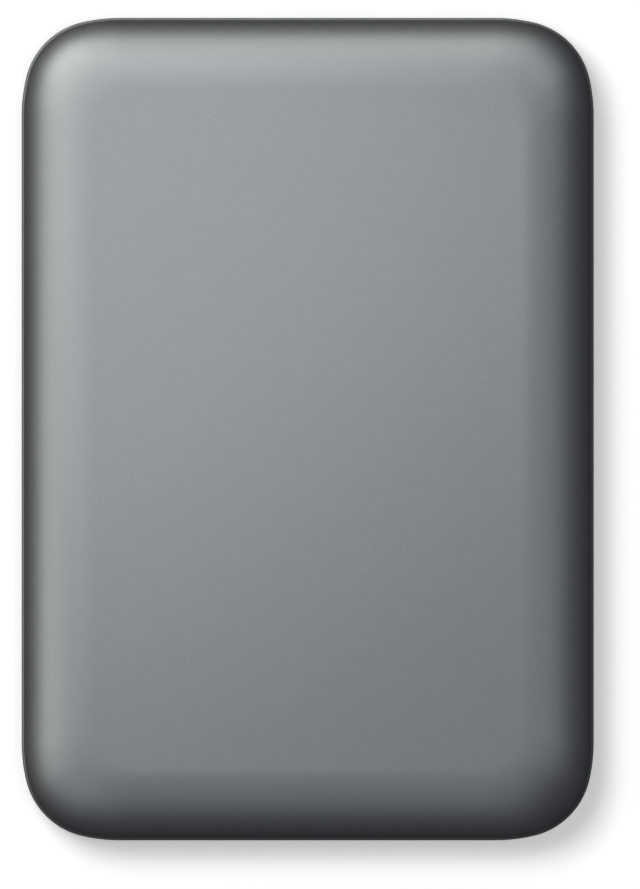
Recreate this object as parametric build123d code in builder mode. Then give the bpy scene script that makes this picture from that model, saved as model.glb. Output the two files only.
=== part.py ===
from build123d import *
import os
from math import acos, atan2, cos, degrees, radians, sin, sqrt

# A portable external hard drive: a smooth two-part case around a 2.5-inch drive and its USB bridge board.
# Millimetres, +Z up. The origin is on the surface that it stands on, under the middle of the case.
# +Y is the end with the USB socket. The case comes out at 80 by 115 by 17.9, the drive at 69.85 by 100.35 by 7.

# Driving dimensions: case
wall = 1.5
edge_radius = 9.8
top_corner_radius = 0.4
corner_lead_radius = 23.4
corner_lead_angle = 13.1
bottom_edge_radius = 3.0
rim_step = 0.25
rim_land = 0.6
tray_land = 4.0
seam_chamfer = 0.1
lip_height = 1.2
lip_gap = 0.1
snap_bead = 0.25
snap_bead_height = 0.4
snap_bead_rise = 0.45
snap_width = 9.0
snap_gap = 0.06
side_space = 3.325
drive_lift = 0.8
roof_rib_thickness = 1.2
roof_rib_x = 20.0
roof_rib_length = 78.0
roof_rib_pitch = 26.0
foam_thickness = 0.8
foam_width = 5.0
floor_rib_height = 0.5

# Driving dimensions: feet and bumpers
foot_radius = 4.0
foot_stand = 0.5
foot_sink = 0.5
foot_edge = 0.2
foot_x = 24.0
foot_y = 42.0
bumper_gap = 0.2
bumper_fit = 0.1
bumper_height = 4.0
bumper_lip = 4.0
bumper_side_arm = 14.0
bumper_end_arm = 5.5

# Driving dimensions: disc, heads and drive body
platter_radius = 32.5
platter_bore_radius = 10.0
platter_thickness = 0.8
well_gap = 0.7
drive_side_wall = 1.725
drive_corner_radius = 3.0
drive_corner_gap = 0.3
well_floor_thickness = 1.2
board_recess = 0.15
board_thickness = 0.8
board_half_width = 27.5
board_edge_gap = 0.5
chip_height = 0.6
chip_gap = 0.15
controller_width = 10.0
controller_x = 9.0
controller_rise = 8.0
driver_width = 7.0
driver_x = -10.0
driver_rise = 6.0
memory_width = 9.0
memory_length = 6.0
memory_x = -10.0
memory_rise = 15.0
board_boss_radius = 1.95
bay_skin = 0.7
bay_left_wall = 4.9
bay_margin = 5.62
bay_corner_radius = 3.0
bay_cut_rise = 0.62
bay_cut_side = 0.57
rear_wall = 1.3
cover_thickness = 0.5
cover_inset = 0.6
cover_gap = 0.3
cover_dish_radius = 26.0
cover_dish_depth = 0.15
gasket_thickness = 0.25
gasket_inset = 0.3
gasket_width = 0.8
mount_hole_radius = 1.25
mount_hole_rear = 14.0
mount_hole_pitch = 76.6
mount_hole_side_inset = 4.07
mount_hole_side_height = 3.0
mount_hole_side_depth = 3.0
mount_hole_base_depth = 2.0
fit_gap = 0.02
run_gap = 0.03

# Driving dimensions: spindle motor
hub_flange_radius = 12.5
hub_flange_thickness = 0.6
hub_skirt = 0.83
hub_rise = 0.15
rotor_gap = 0.35
magnet_ring_thickness = 1.25
air_gap = 0.3
stator_teeth = 9
stator_thickness = 0.7
stator_core_width = 1.6
tooth_width = 1.3
tooth_tip = 0.8
tooth_tip_angle = 28.0
winding_build = 0.25
winding_width = 2.8
winding_length = 2.8
boss_radius = 3.9
boss_shoulder = 0.7
sleeve_radius = 3.0
sleeve_floor = 0.3
sleeve_recess = 0.2
shaft_radius = 1.5
clamp_overlap = 1.8
clamp_thickness = 0.5
clamp_bevel = 0.6
clamp_holes = 3
clamp_hole_radius = 0.8
clamp_hole_ring = 6.0
screw_radius = 0.8
screw_length = 2.3
clamp_screw_head_radius = 2.0
clamp_screw_head_height = 0.5

# Driving dimensions: actuator
hub_gap = 1.9
arm_hub_radius = 5.6
arm_floor_gap = 0.25
arm_thickness = 0.6
arm_length = 24.0
arm_tip_radius = 2.2
arm_window_radius = 1.5
suspension_thickness = 0.1
suspension_root_radius = 1.9
suspension_tip_radius = 0.55
suspension_overlap = 3.0
lift_tab_width = 0.6
lift_tab_length = 1.5
head_reach = 34.5
head_length = 1.2
head_width = 0.9
head_height = 0.4
fly_gap = 0.05
park_gap = 2.0
inner_track_radius = 14.0
pivot_foot_radius = 2.4
pivot_shaft_radius = 1.5
pivot_stud_radius = 1.0
bearing_radius = 3.2
bearing_height = 1.0
bearing_margin = 0.1
pivot_sleeve_radius = 4.0
coil_hub_gap = 1.2
coil_length = 8.2
coil_half_angle = 15.0
coil_band = 2.0
coil_corner_radius = 1.0
coil_thickness = 1.0
coil_bond = 0.1
coil_bend = 10.0
fork_half_angle = 21.0
fork_setback = 1.0

# Driving dimensions: voice coil magnets, stops, ramp, ribbon and filter
yoke_thickness = 0.8
yoke_margin = 0.8
yoke_wall_gap = 0.4
yoke_end_angle = 6.0
magnet_thickness = 0.5
magnet_gap = 0.2
stop_radius = 1.0
stop_ring = 12.5
stop_gap = 0.3
ramp_tongue = 0.25
ramp_slot_gap = 0.15
ramp_rim_gap = 0.4
ramp_head_gap = 0.3
ramp_tongue_width = 1.8
ramp_overlap = 1.0
ramp_run_angle = 2.5
ramp_body_width = 3.8
ramp_body_gap = 0.8
ribbon_thickness = 0.12
ribbon_height = 1.6
ribbon_loop_radius = 4.0
ribbon_pad_width = 4.0
ribbon_pad_rise = 0.1
ribbon_offset = 5.0
bracket_width = 8.0
bracket_depth = 2.7
bracket_height = 2.8
filter_thickness = 2.2
filter_width = 9.0
filter_height = 3.2

# Driving dimensions: fasteners
cover_screw_head_radius = 1.65
cover_screw_head_height = 0.3
cover_screw_length = 3.4
cover_screw_corner = 4.2
board_screw_length = 1.2
board_screw_inset = 3.0

# Driving dimensions: connectors and bridge board
contact_pitch = 1.27
contact_width = 0.8
contact_thickness = 0.12
contact_margin = 1.4
signal_contacts = 7
power_contacts = 15
tongue_gap = 2.41
tongue_thickness = 1.23
tongue_length = 4.6
tongue_setback = 0.5
tongue_height = 2.5
plug_depth = 1.4
plug_flank = 3.0
plug_height = 3.5
notch_gap = 1.0
sata_x = -6.0
socket_flank = 2.2
socket_height = 4.0
socket_depth = 6.2
socket_bite = 4.9
socket_slot_gap = 0.15
bridge_space = 9.575
bridge_thickness = 1.0
bridge_wall_gap = 0.4
bridge_side = 1.2
bridge_notch_gap = 0.4
post_radius = 1.4
post_inset = 3.0
usb_x = 0.0
usb_main_width = 7.2
usb_side_width = 4.2
usb_web_width = 0.9
usb_web_height = 1.7
usb_height = 2.5
usb_bevel = 0.8
usb_sheet = 0.3
usb_depth = 5.6
usb_setback = 0.5
usb_block_depth = 1.5
usb_tongue_thickness = 0.7
usb_tongue_setback = 0.6
usb_tongue_side_gap = 0.9
usb_contacts_each = 5
usb_contact_pitch = 0.5
usb_contact_width = 0.25
usb_contact_thickness = 0.1
port_gap = 0.25
port_corner_radius = 0.6
bridge_chip_size = 5.0
bridge_chip_height = 0.85
bridge_chip_x = -15.0
crystal_length = 3.2
crystal_width = 1.6
crystal_height = 0.7
crystal_x = -21.5
led_x = 10.5
led_width = 1.6
led_depth = 0.8
led_height = 0.8
pipe_radius = 0.7
pipe_gap = 0.05
pipe_setback = 0.5

# Heights inside the drive, up from its underside
drive_bottom = foot_stand + wall + drive_lift
board_top = drive_bottom + board_recess + board_thickness
pocket_roof = board_top + chip_height + chip_gap
bay_floor = pocket_roof + bay_skin
well_floor = drive_bottom + well_floor_thickness
lower_arm_z = bay_floor + arm_floor_gap
lower_suspension_z = lower_arm_z + arm_thickness
lower_head_z = lower_suspension_z + suspension_thickness
platter_z = lower_head_z + head_height + fly_gap
platter_top = platter_z + platter_thickness
upper_head_z = platter_top + fly_gap
upper_suspension_z = upper_head_z + head_height
upper_arm_z = upper_suspension_z + suspension_thickness
arm_top = upper_arm_z + arm_thickness
disc_middle_z = platter_z + platter_thickness / 2
coil_z = disc_middle_z - coil_thickness / 2
magnet_z = coil_z + coil_thickness + magnet_gap
upper_yoke_z = magnet_z + magnet_thickness
cover_z = upper_yoke_z + yoke_thickness + cover_gap
drive_top = cover_z + cover_thickness
base_top = cover_z - gasket_thickness
hub_underside = platter_z - hub_flange_thickness
hub_top = platter_top + hub_rise
stator_z = (well_floor + hub_underside - stator_thickness) / 2
clamp_top = hub_top + clamp_thickness

# Plan of the drive
well_radius = platter_radius + well_gap
drive_width = 2 * (well_radius + drive_side_wall)
coil_inner = arm_hub_radius + coil_hub_gap
coil_outer = coil_inner + coil_length
yoke_inner = arm_hub_radius + coil_hub_gap / 2
yoke_outer = coil_outer + yoke_margin
pivot_x = well_radius - yoke_wall_gap - yoke_outer
pivot_distance = platter_radius + hub_gap + arm_hub_radius
pivot_rise = sqrt(pivot_distance**2 - pivot_x**2)
plug_reach = plug_depth + tongue_length + tongue_setback
bay_length = pivot_rise + yoke_outer + bay_margin
drive_length = drive_width / 2 + bay_length + rear_wall + plug_reach

# Heights and plan of the case
edge_centre_z = foot_stand + bottom_edge_radius + tray_land + rim_land
case_top = edge_centre_z + edge_radius
split_z = foot_stand + bottom_edge_radius + tray_land
tray_floor = foot_stand + wall
roof_z = case_top - wall
wall_inset = rim_step + wall
lip_inset = rim_step + wall / 2
case_width = drive_width + 2 * (side_space + wall_inset)
corner_core_radius = edge_radius + top_corner_radius + rim_step


def lead_offset(angle):
    """How far one easing arc of unit radius reaches along the side, both ends of the corner together."""
    return sin(radians(angle)) + 1 - cos(radians(angle))


def core_offset(angle):
    """The same reach for the tight middle arc of the corner."""
    return cos(radians(angle)) - sin(radians(angle))


corner_reach = (corner_lead_radius * lead_offset(corner_lead_angle)
                + corner_core_radius * core_offset(corner_lead_angle))
corner_centre = corner_reach - (corner_lead_radius - corner_core_radius) * sin(radians(corner_lead_angle))

# The drive sits as near the front end as its top corners clear the rolled corners of the case
inner_edge = edge_radius - wall
roll = inner_edge - sqrt(inner_edge**2 - (drive_top - edge_centre_z) ** 2)
corner_across = corner_centre - wall_inset - side_space - drive_corner_radius
corner_room = corner_core_radius - wall_inset - roll - drive_corner_gap - drive_corner_radius
front_gap = corner_centre - drive_corner_radius - sqrt(corner_room**2 - corner_across**2)
case_length = front_gap + drive_length + bridge_space + wall_inset
rear_y = case_length / 2
drive_front_y = -case_length / 2 + front_gap
drive_rear_y = drive_front_y + drive_length
drive_middle_y = drive_front_y + drive_length / 2
spindle_y = drive_front_y + drive_width / 2
pivot_y = spindle_y + pivot_rise
bay_rear_y = spindle_y + bay_length

# Swing of the actuator, seen from above, with the heads parked outside the platter at rest


def reach_angle(reach, radius):
    """The angle at the pivot, away from the spindle, at which a point of the arm lies at a disc radius."""
    return degrees(acos((pivot_distance**2 + reach**2 - radius**2) / (2 * pivot_distance * reach)))


spindle_angle = degrees(atan2(-pivot_rise, -pivot_x))
park_angle = reach_angle(head_reach, platter_radius + park_gap)
swing = park_angle - reach_angle(head_reach, inner_track_radius)
arm_angle = spindle_angle - park_angle
coil_angle = arm_angle + 180 + coil_bend
stop_step = fork_half_angle + degrees((stop_radius + stop_gap) / stop_ring)
outer_stop_angle = coil_angle - stop_step
inner_stop_angle = coil_angle + swing + stop_step

spindle = Plane(origin=(0, spindle_y, 0))
spindle_section = Plane(origin=(0, spindle_y, 0), x_dir=(1, 0, 0), z_dir=(0, -1, 0))
spindle_axis = Axis((0, spindle_y, 0), (0, 0, 1))
pivot = Plane(origin=(pivot_x, pivot_y, 0))


def turned(plane, angle):
    """The plane turned about its own normal."""
    return Plane(plane.origin, x_dir=(cos(radians(angle)), sin(radians(angle)), 0), z_dir=(0, 0, 1))


arm = turned(pivot, arm_angle)
coil = turned(pivot, coil_angle)

# Connectors at the rear end
signal_width = (signal_contacts - 1) * contact_pitch + 2 * contact_margin
power_width = (power_contacts - 1) * contact_pitch + 2 * contact_margin
tongues_width = signal_width + tongue_gap + power_width
signal_x = sata_x - tongues_width / 2 + signal_width / 2
power_x = sata_x + tongues_width / 2 - power_width / 2
plug_width = tongues_width + 2 * plug_flank
socket_width = tongues_width + 2 * socket_flank
plug_face_y = drive_rear_y - tongue_setback - tongue_length
plug_back_y = plug_face_y - plug_depth
tongue_z = drive_bottom + tongue_height
socket_front_y = drive_rear_y - socket_bite
socket_back_y = socket_front_y + socket_depth
bridge_z = tongue_z - bridge_thickness / 2
bridge_top = bridge_z + bridge_thickness
bridge_rear_y = rear_y - wall_inset - bridge_wall_gap
bridge_left = sata_x - socket_width / 2 - bridge_side
bridge_right = max(sata_x + socket_width / 2, led_x + led_width) + bridge_side
bridge_middle_y = (socket_back_y + bridge_rear_y) / 2
usb_width = usb_main_width + usb_web_width + usb_side_width
usb_main_x = -usb_width / 2 + usb_main_width / 2
usb_side_x = usb_width / 2 - usb_side_width / 2
usb_mouth_y = rear_y - usb_setback
usb_mouth = Plane(origin=(usb_x, usb_mouth_y, tongue_z), x_dir=(1, 0, 0), z_dir=(0, -1, 0))
led_y = bridge_rear_y - led_depth
pipe_z = bridge_top + led_height / 2
cover_screw_spots = [
    (side * (drive_width / 2 - cover_screw_corner), y)
    for side in (-1, 1)
    for y in (drive_front_y + cover_screw_corner, drive_rear_y - cover_screw_corner)
]
board_screw_spots = [
    (side * (board_half_width - board_screw_inset), bay_rear_y - board_screw_inset) for side in (-1, 1)
]
pocket_front_y = spindle_y + well_radius + rear_wall
notch_top = board_top + plug_height + notch_gap / 2
mount_hole_rows = [drive_rear_y - mount_hole_rear, drive_rear_y - mount_hole_rear - mount_hole_pitch]
socket_slot_depth = drive_rear_y - tongue_setback - socket_front_y + socket_slot_gap
board_chips = [
    ("drive_controller", controller_x, pivot_y + controller_rise, controller_width, controller_width),
    ("motor_driver", driver_x, pivot_y + driver_rise, driver_width, driver_width),
    ("cache_memory", memory_x, pivot_y + memory_rise, memory_width, memory_length),
]
usb_contact_y = -(usb_tongue_thickness + usb_contact_thickness) / 2

# Rings of the spindle motor, inward from the hub's skirt
magnet_ring_radius = hub_flange_radius - hub_skirt
stator_radius = magnet_ring_radius - magnet_ring_thickness - air_gap
tooth_tip_inner = stator_radius - tooth_tip
winding_reach = sqrt(tooth_tip_inner**2 - (winding_width / 2) ** 2) - fit_gap

# Load ramp and ribbon, from the swing of the arm
ramp_inner = head_reach + head_length / 2 + ramp_head_gap
ramp_outer = ramp_inner + ramp_tongue_width
ramp_tip_angle = reach_angle((ramp_inner + ramp_outer) / 2, platter_radius - ramp_overlap)
ramp_body_angle = reach_angle(ramp_outer, platter_radius + ramp_body_gap)
ramp_rest_angle = park_angle + ramp_run_angle
stop_clear = degrees((stop_radius + stop_gap) / coil_inner)
ribbon_z = disc_middle_z - ribbon_height / 2
ribbon_start_y = arm_hub_radius + ribbon_pad_rise + ribbon_thickness / 2
ribbon_end_y = ribbon_start_y + 2 * ribbon_loop_radius + ribbon_thickness / 2
ribbon_pad_x = -ribbon_offset + ribbon_pad_width / 2


# Outlines that more than one piece shares


def case_outline(inset):
    """The case's plan moved in by inset: each straight side is eased into its corner by a gentle arc."""
    half_x = case_width / 2 - inset
    half_y = case_length / 2 - inset
    lead = corner_lead_radius - inset
    core = corner_core_radius - inset
    reach = corner_reach - inset
    with BuildSketch() as plan:
        with BuildLine():
            end = Line((0, half_y), (half_x - reach, half_y))
            ease_in = JernArc(end @ 1, end % 1, lead, -corner_lead_angle)
            middle = JernArc(ease_in @ 1, ease_in % 1, core, 2 * corner_lead_angle - 90)
            ease_out = JernArc(middle @ 1, middle % 1, lead, -corner_lead_angle)
            Line(ease_out @ 1, (half_x, 0))
            mirror(about=Plane.YZ)
            mirror(about=Plane.XZ)
        make_face()
    return plan.sketch


def case_form(inset, skin):
    """The closed form of the case, its plan moved in by inset and its roof, floor and rolled edges by skin."""
    with BuildPart() as form:
        with BuildSketch(Plane.XY.offset(foot_stand + skin)):
            add(case_outline(inset))
        extrude(amount=case_top - foot_stand - 2 * skin)
        fillet(form.faces().sort_by(Axis.Z)[-1].edges(), edge_radius - skin)
        fillet(form.faces().sort_by(Axis.Z)[0].edges(), bottom_edge_radius - skin)
    return form.part


def snap_ring(outer, inner, width):
    """Short stretches of a ring inside the case wall, where the two covers snap together."""
    with BuildSketch() as ring:
        add(case_outline(outer))
        add(case_outline(inner), mode=Mode.SUBTRACT)
        with BuildSketch(mode=Mode.INTERSECT):
            with GridLocations(case_width, case_length / 3, 2, 2):
                Rectangle(4 * wall_inset, width)
            with Locations((0, -case_length / 2)):
                Rectangle(width, 4 * wall_inset)
    return ring.sketch


def sector(inner, outer, start, end):
    """An annular sector about the origin between two angles, in degrees."""
    with BuildSketch() as plan:
        with BuildLine():
            far = CenterArc((0, 0), outer, start, end - start)
            near = CenterArc((0, 0), inner, start, end - start)
            Line(far @ 0, near @ 0)
            Line(far @ 1, near @ 1)
        make_face()
    return plan.sketch


def drive_cavity(grow):
    """The plan of the space inside the drive, disc well and actuator bay together, moved out by grow."""
    with BuildSketch() as plan:
        with BuildLine():
            Polyline(
                (bay_left_wall - drive_width / 2, spindle_y + well_radius / 2),
                (well_radius, spindle_y + well_radius / 2),
                (well_radius, pivot_y + bay_cut_rise * yoke_outer),
                (pivot_x + bay_cut_side * yoke_outer, bay_rear_y),
                (bay_left_wall - drive_width / 2, bay_rear_y),
                close=True,
            )
        make_face()
        fillet(plan.vertices().group_by(Axis.Y)[-1], bay_corner_radius)
        with Locations((0, spindle_y)):
            Circle(well_radius)
        if grow:
            offset(amount=grow, mode=Mode.REPLACE)
    return plan.sketch


def coil_plan(grow):
    """The voice coil's outline in its own plane, +X away from the pivot, moved out by grow."""
    with BuildSketch() as plan:
        add(sector(coil_inner, coil_outer, -coil_half_angle, coil_half_angle))
        fillet(plan.vertices(), coil_corner_radius)
        if grow:
            offset(amount=grow, mode=Mode.REPLACE)
    return plan.sketch


def usb_outline(grow):
    """The stepped outline of the USB socket seen from outside, wide part and side part, moved out by grow."""
    with BuildSketch() as plan:
        with Locations((usb_main_x, 0)):
            Rectangle(usb_main_width, usb_height)
        with Locations((usb_side_x, 0)):
            Rectangle(usb_side_width, usb_height)
        chamfer(plan.vertices().group_by(Axis.Y)[0], usb_bevel)
        with Locations((usb_main_x + (usb_main_width + usb_web_width) / 2, (usb_height - usb_web_height) / 2)):
            Rectangle(usb_web_width + usb_sheet, usb_web_height)
        if grow:
            offset(amount=grow, kind=Kind.INTERSECTION, mode=Mode.REPLACE)
    return plan.sketch


tray_form = case_form(0, 0)
roof_form = case_form(rim_step, 0)
cavity_form = case_form(wall_inset, wall)
bumper_room = case_form(wall_inset + bumper_gap, wall + bumper_gap)
port_cut_depth = 2 * wall + wall_inset
port_plane = Plane(origin=(usb_x, rear_y + wall, tongue_z), x_dir=(1, 0, 0), z_dir=(0, -1, 0))
pipe_plane = Plane(origin=(led_x, rear_y + wall, pipe_z), x_dir=(1, 0, 0), z_dir=(0, -1, 0))

# Top cover: the smooth shell that shows, with a rebate for the lip, snap grooves and ribs under its roof
with BuildPart() as top_cover:
    add(roof_form)
    add(cavity_form, mode=Mode.SUBTRACT)
    split(bisect_by=Plane.XY.offset(split_z), keep=Keep.TOP)
    with BuildSketch(Plane.XY.offset(split_z)):
        add(case_outline(lip_inset))
    extrude(amount=lip_height + lip_gap, mode=Mode.SUBTRACT)
    with BuildSketch(Plane.XY.offset(split_z + snap_bead_rise - snap_gap)):
        add(snap_ring(lip_inset - snap_bead, lip_inset, snap_width + 2 * snap_gap))
    extrude(amount=snap_bead_height + 2 * snap_gap, mode=Mode.SUBTRACT)
    chamfer(top_cover.faces().sort_by(Axis.Z)[0].outer_wire().edges(), seam_chamfer)
    with BuildSketch(Plane.XY.offset(roof_z)):
        with GridLocations(2 * roof_rib_x, 1, 2, 1):
            Rectangle(roof_rib_thickness, roof_rib_length)
        with GridLocations(1, roof_rib_pitch, 1, 3):
            Rectangle(2 * roof_rib_x, roof_rib_thickness)
    extrude(amount=drive_top + foam_thickness - roof_z)

# Bottom cover: a tray with the lip, snap beads, foot recesses, stiffening ribs, board posts and rear openings
with BuildPart() as bottom_cover:
    add(tray_form)
    add(cavity_form, mode=Mode.SUBTRACT)
    split(bisect_by=Plane.XY.offset(split_z), keep=Keep.BOTTOM)
    chamfer(bottom_cover.faces().sort_by(Axis.Z)[-1].outer_wire().edges(), seam_chamfer)
    with BuildSketch(Plane.XY.offset(split_z)):
        add(case_outline(lip_inset + lip_gap))
        add(case_outline(wall_inset), mode=Mode.SUBTRACT)
    extrude(amount=lip_height)
    with BuildSketch(Plane.XY.offset(split_z + snap_bead_rise)):
        add(snap_ring(lip_inset + lip_gap - snap_bead, lip_inset + lip_gap, snap_width))
    extrude(amount=snap_bead_height)
    with BuildSketch(Plane.XY.offset(tray_floor)):
        with GridLocations(2 * roof_rib_x, 1, 2, 1):
            Rectangle(roof_rib_thickness, roof_rib_length)
        with GridLocations(1, roof_rib_pitch, 1, 3):
            Rectangle(2 * roof_rib_x, roof_rib_thickness)
    extrude(amount=floor_rib_height)
    with BuildSketch(Plane.XY.offset(tray_floor)):
        with Locations((bridge_left + post_inset, bridge_middle_y), (bridge_right - post_inset, bridge_middle_y)):
            Circle(post_radius)
    extrude(amount=bridge_z - tray_floor)
    with BuildSketch(Plane.XY.offset(foot_stand)):
        with GridLocations(2 * foot_x, 2 * foot_y, 2, 2):
            Circle(foot_radius + fit_gap)
    extrude(amount=foot_sink, mode=Mode.SUBTRACT)
    with BuildSketch(port_plane):
        RectangleRounded(usb_width + 2 * port_gap, usb_height + 2 * port_gap, port_corner_radius)
    extrude(amount=port_cut_depth, mode=Mode.SUBTRACT)
    with BuildSketch(pipe_plane):
        Circle(pipe_radius + pipe_gap)
    extrude(amount=port_cut_depth, mode=Mode.SUBTRACT)

pieces = {"top_cover": top_cover, "bottom_cover": bottom_cover}

# Rubber feet, one in each recess of the bottom cover
for row, y in (("front", -foot_y), ("rear", foot_y)):
    for side, x in (("left", -foot_x), ("right", foot_x)):
        with BuildPart() as foot:
            with BuildSketch():
                with Locations((x, y)):
                    Circle(foot_radius)
            extrude(amount=foot_stand + foot_sink)
            chamfer(foot.faces().sort_by(Axis.Z)[0].edges(), foot_edge)
        pieces[f"rubber_foot_{row}_{side}"] = foot

# Rubber bumpers that wrap the drive's corners, stand on the tray and carry the drive on a lip
for row, end, y in (("front", -1, drive_front_y), ("rear", 1, drive_rear_y)):
    for side, sign in (("left", -1), ("right", 1)):
        with BuildPart() as bumper:
            thickness = side_space - bumper_gap
            with BuildSketch(Plane.XY.offset(tray_floor)):
                with Locations((
                    sign * (drive_width / 2 + (thickness - bumper_end_arm) / 2),
                    y + end * (thickness - bumper_side_arm) / 2,
                )):
                    Rectangle(bumper_end_arm + thickness, bumper_side_arm + thickness)
            extrude(amount=drive_lift + bumper_height)
            with BuildSketch(Plane.XY.offset(drive_bottom)):
                with Locations((0, drive_middle_y)):
                    RectangleRounded(
                        drive_width + 2 * bumper_fit,
                        drive_length + 2 * bumper_fit,
                        drive_corner_radius + bumper_fit,
                    )
            extrude(amount=bumper_height, mode=Mode.SUBTRACT)
            with BuildSketch(Plane.XY.offset(tray_floor)):
                with Locations((0, drive_middle_y)):
                    Rectangle(drive_width - 2 * bumper_lip, drive_length - 2 * bumper_lip)
            extrude(amount=drive_lift, mode=Mode.SUBTRACT)
            with Locations((0, 0, -bumper_gap)):
                add(bumper_room, mode=Mode.INTERSECT)
        pieces[f"corner_bumper_{row}_{side}"] = bumper

# Foam strips between the drive's cover and the long ribs of the roof
for side, x in (("left", -roof_rib_x), ("right", roof_rib_x)):
    with BuildPart() as foam:
        with BuildSketch(Plane.XY.offset(drive_top)):
            with Locations((x, 0)):
                RectangleRounded(foam_width, roof_rib_length, foam_width / 4)
        extrude(amount=foam_thickness)
    pieces[f"foam_strip_{side}"] = foam

# Drive base: the casting, with disc well, actuator bay, motor boss, board pocket, plug notch and its screw holes
with BuildPart() as drive_base:
    with BuildSketch(Plane.XY.offset(drive_bottom)):
        with Locations((0, drive_middle_y)):
            RectangleRounded(drive_width, drive_length, drive_corner_radius)
    extrude(amount=base_top - drive_bottom)
    with BuildSketch(spindle.offset(well_floor)):
        Circle(well_radius)
    extrude(amount=base_top - well_floor, mode=Mode.SUBTRACT)
    with BuildSketch(Plane.XY.offset(bay_floor)):
        add(drive_cavity(0))
    extrude(amount=base_top - bay_floor, mode=Mode.SUBTRACT)
    with BuildSketch(spindle.offset(well_floor)):
        Circle(boss_radius + boss_shoulder)
    extrude(amount=stator_z - well_floor)
    with BuildSketch(spindle.offset(stator_z)):
        Circle(boss_radius)
    extrude(amount=stator_thickness)
    with BuildSketch(spindle.offset(drive_bottom)):
        Circle(sleeve_radius + fit_gap)
    extrude(amount=stator_z + stator_thickness - drive_bottom, mode=Mode.SUBTRACT)
    with BuildSketch(pivot.offset(drive_bottom)):
        Circle(pivot_stud_radius + fit_gap)
    extrude(amount=bay_floor - drive_bottom, mode=Mode.SUBTRACT)
    with BuildSketch(Plane.XY.offset(drive_bottom)):
        with BuildLine():
            Polyline(
                (-board_half_width - board_edge_gap, pocket_front_y),
                (board_half_width + board_edge_gap, pocket_front_y),
                (board_half_width + board_edge_gap, plug_face_y + board_edge_gap),
                (-board_half_width - board_edge_gap, plug_face_y + board_edge_gap),
                close=True,
            )
        make_face()
    extrude(amount=pocket_roof - drive_bottom, mode=Mode.SUBTRACT)
    with BuildSketch(Plane.XY.offset(drive_bottom)):
        with Locations((sata_x, drive_rear_y)):
            Rectangle(plug_width + 2 * notch_gap, 2 * plug_reach)
    extrude(amount=notch_top - drive_bottom, mode=Mode.SUBTRACT)
    for hole_y in mount_hole_rows:
        for side in (-1, 1):
            with BuildSketch(Plane.XY.offset(drive_bottom)):
                with Locations((side * (drive_width / 2 - mount_hole_side_inset), hole_y)):
                    Circle(mount_hole_radius)
            extrude(amount=mount_hole_base_depth, mode=Mode.SUBTRACT)
            side_hole = Plane(
                origin=(side * drive_width / 2, hole_y, drive_bottom + mount_hole_side_height),
                z_dir=(-side, 0, 0),
            )
            with BuildSketch(side_hole):
                Circle(mount_hole_radius)
            extrude(amount=mount_hole_side_depth, mode=Mode.SUBTRACT)
    with BuildSketch(Plane.XY.offset(base_top)):
        with Locations(*cover_screw_spots):
            Circle(screw_radius + fit_gap)
    extrude(amount=-cover_screw_length, mode=Mode.SUBTRACT)
    with BuildSketch(Plane.XY.offset(board_top)):
        with Locations(*board_screw_spots):
            Circle(board_boss_radius)
    extrude(amount=pocket_roof - board_top)
    with BuildSketch(Plane.XY.offset(board_top)):
        with Locations(*board_screw_spots):
            Circle(screw_radius + fit_gap)
    extrude(amount=board_screw_length, mode=Mode.SUBTRACT)
pieces["drive_base"] = drive_base

# Gasket that follows the rim of the base, and the stamped cover with a dish over the disc
with BuildPart() as cover_gasket:
    with BuildSketch(Plane.XY.offset(base_top)):
        add(drive_cavity(gasket_inset + gasket_width))
        add(drive_cavity(gasket_inset), mode=Mode.SUBTRACT)
    extrude(amount=gasket_thickness)
pieces["cover_gasket"] = cover_gasket

with BuildPart() as drive_cover:
    with BuildSketch(Plane.XY.offset(cover_z)):
        with Locations((0, drive_middle_y)):
            RectangleRounded(
                drive_width - 2 * cover_inset,
                drive_length - 2 * cover_inset,
                drive_corner_radius - cover_inset,
            )
    extrude(amount=cover_thickness)
    with BuildSketch(spindle.offset(drive_top)):
        Circle(cover_dish_radius)
    extrude(amount=-cover_dish_depth, mode=Mode.SUBTRACT)
    with Locations(*[(x, y, drive_top) for x, y in cover_screw_spots + [(pivot_x, pivot_y)]]):
        CounterBoreHole(screw_radius + run_gap, cover_screw_head_radius + run_gap, cover_screw_head_height)
pieces["drive_cover"] = drive_cover

with BuildPart() as cover_screws:
    with BuildSketch(Plane.XY.offset(drive_top - cover_screw_head_height)):
        with Locations(*cover_screw_spots, (pivot_x, pivot_y)):
            Circle(cover_screw_head_radius)
    extrude(amount=cover_screw_head_height)
    with BuildSketch(Plane.XY.offset(drive_top - cover_screw_head_height)):
        with Locations(*cover_screw_spots, (pivot_x, pivot_y)):
            Circle(screw_radius)
    extrude(amount=-screw_length)
pieces["cover_screws"] = cover_screws

# Spindle motor: sleeve, stator and windings stay with the base
with BuildPart() as motor_sleeve:
    with BuildSketch(spindle_section):
        with BuildLine():
            Polyline(
                (0, drive_bottom + sleeve_recess),
                (sleeve_radius, drive_bottom + sleeve_recess),
                (sleeve_radius, stator_z + stator_thickness),
                (shaft_radius + run_gap, stator_z + stator_thickness),
                (shaft_radius + run_gap, drive_bottom + sleeve_recess + sleeve_floor),
                (0, drive_bottom + sleeve_recess + sleeve_floor),
                close=True,
            )
        make_face()
    revolve(axis=spindle_axis)
pieces["motor_sleeve"] = motor_sleeve

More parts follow.
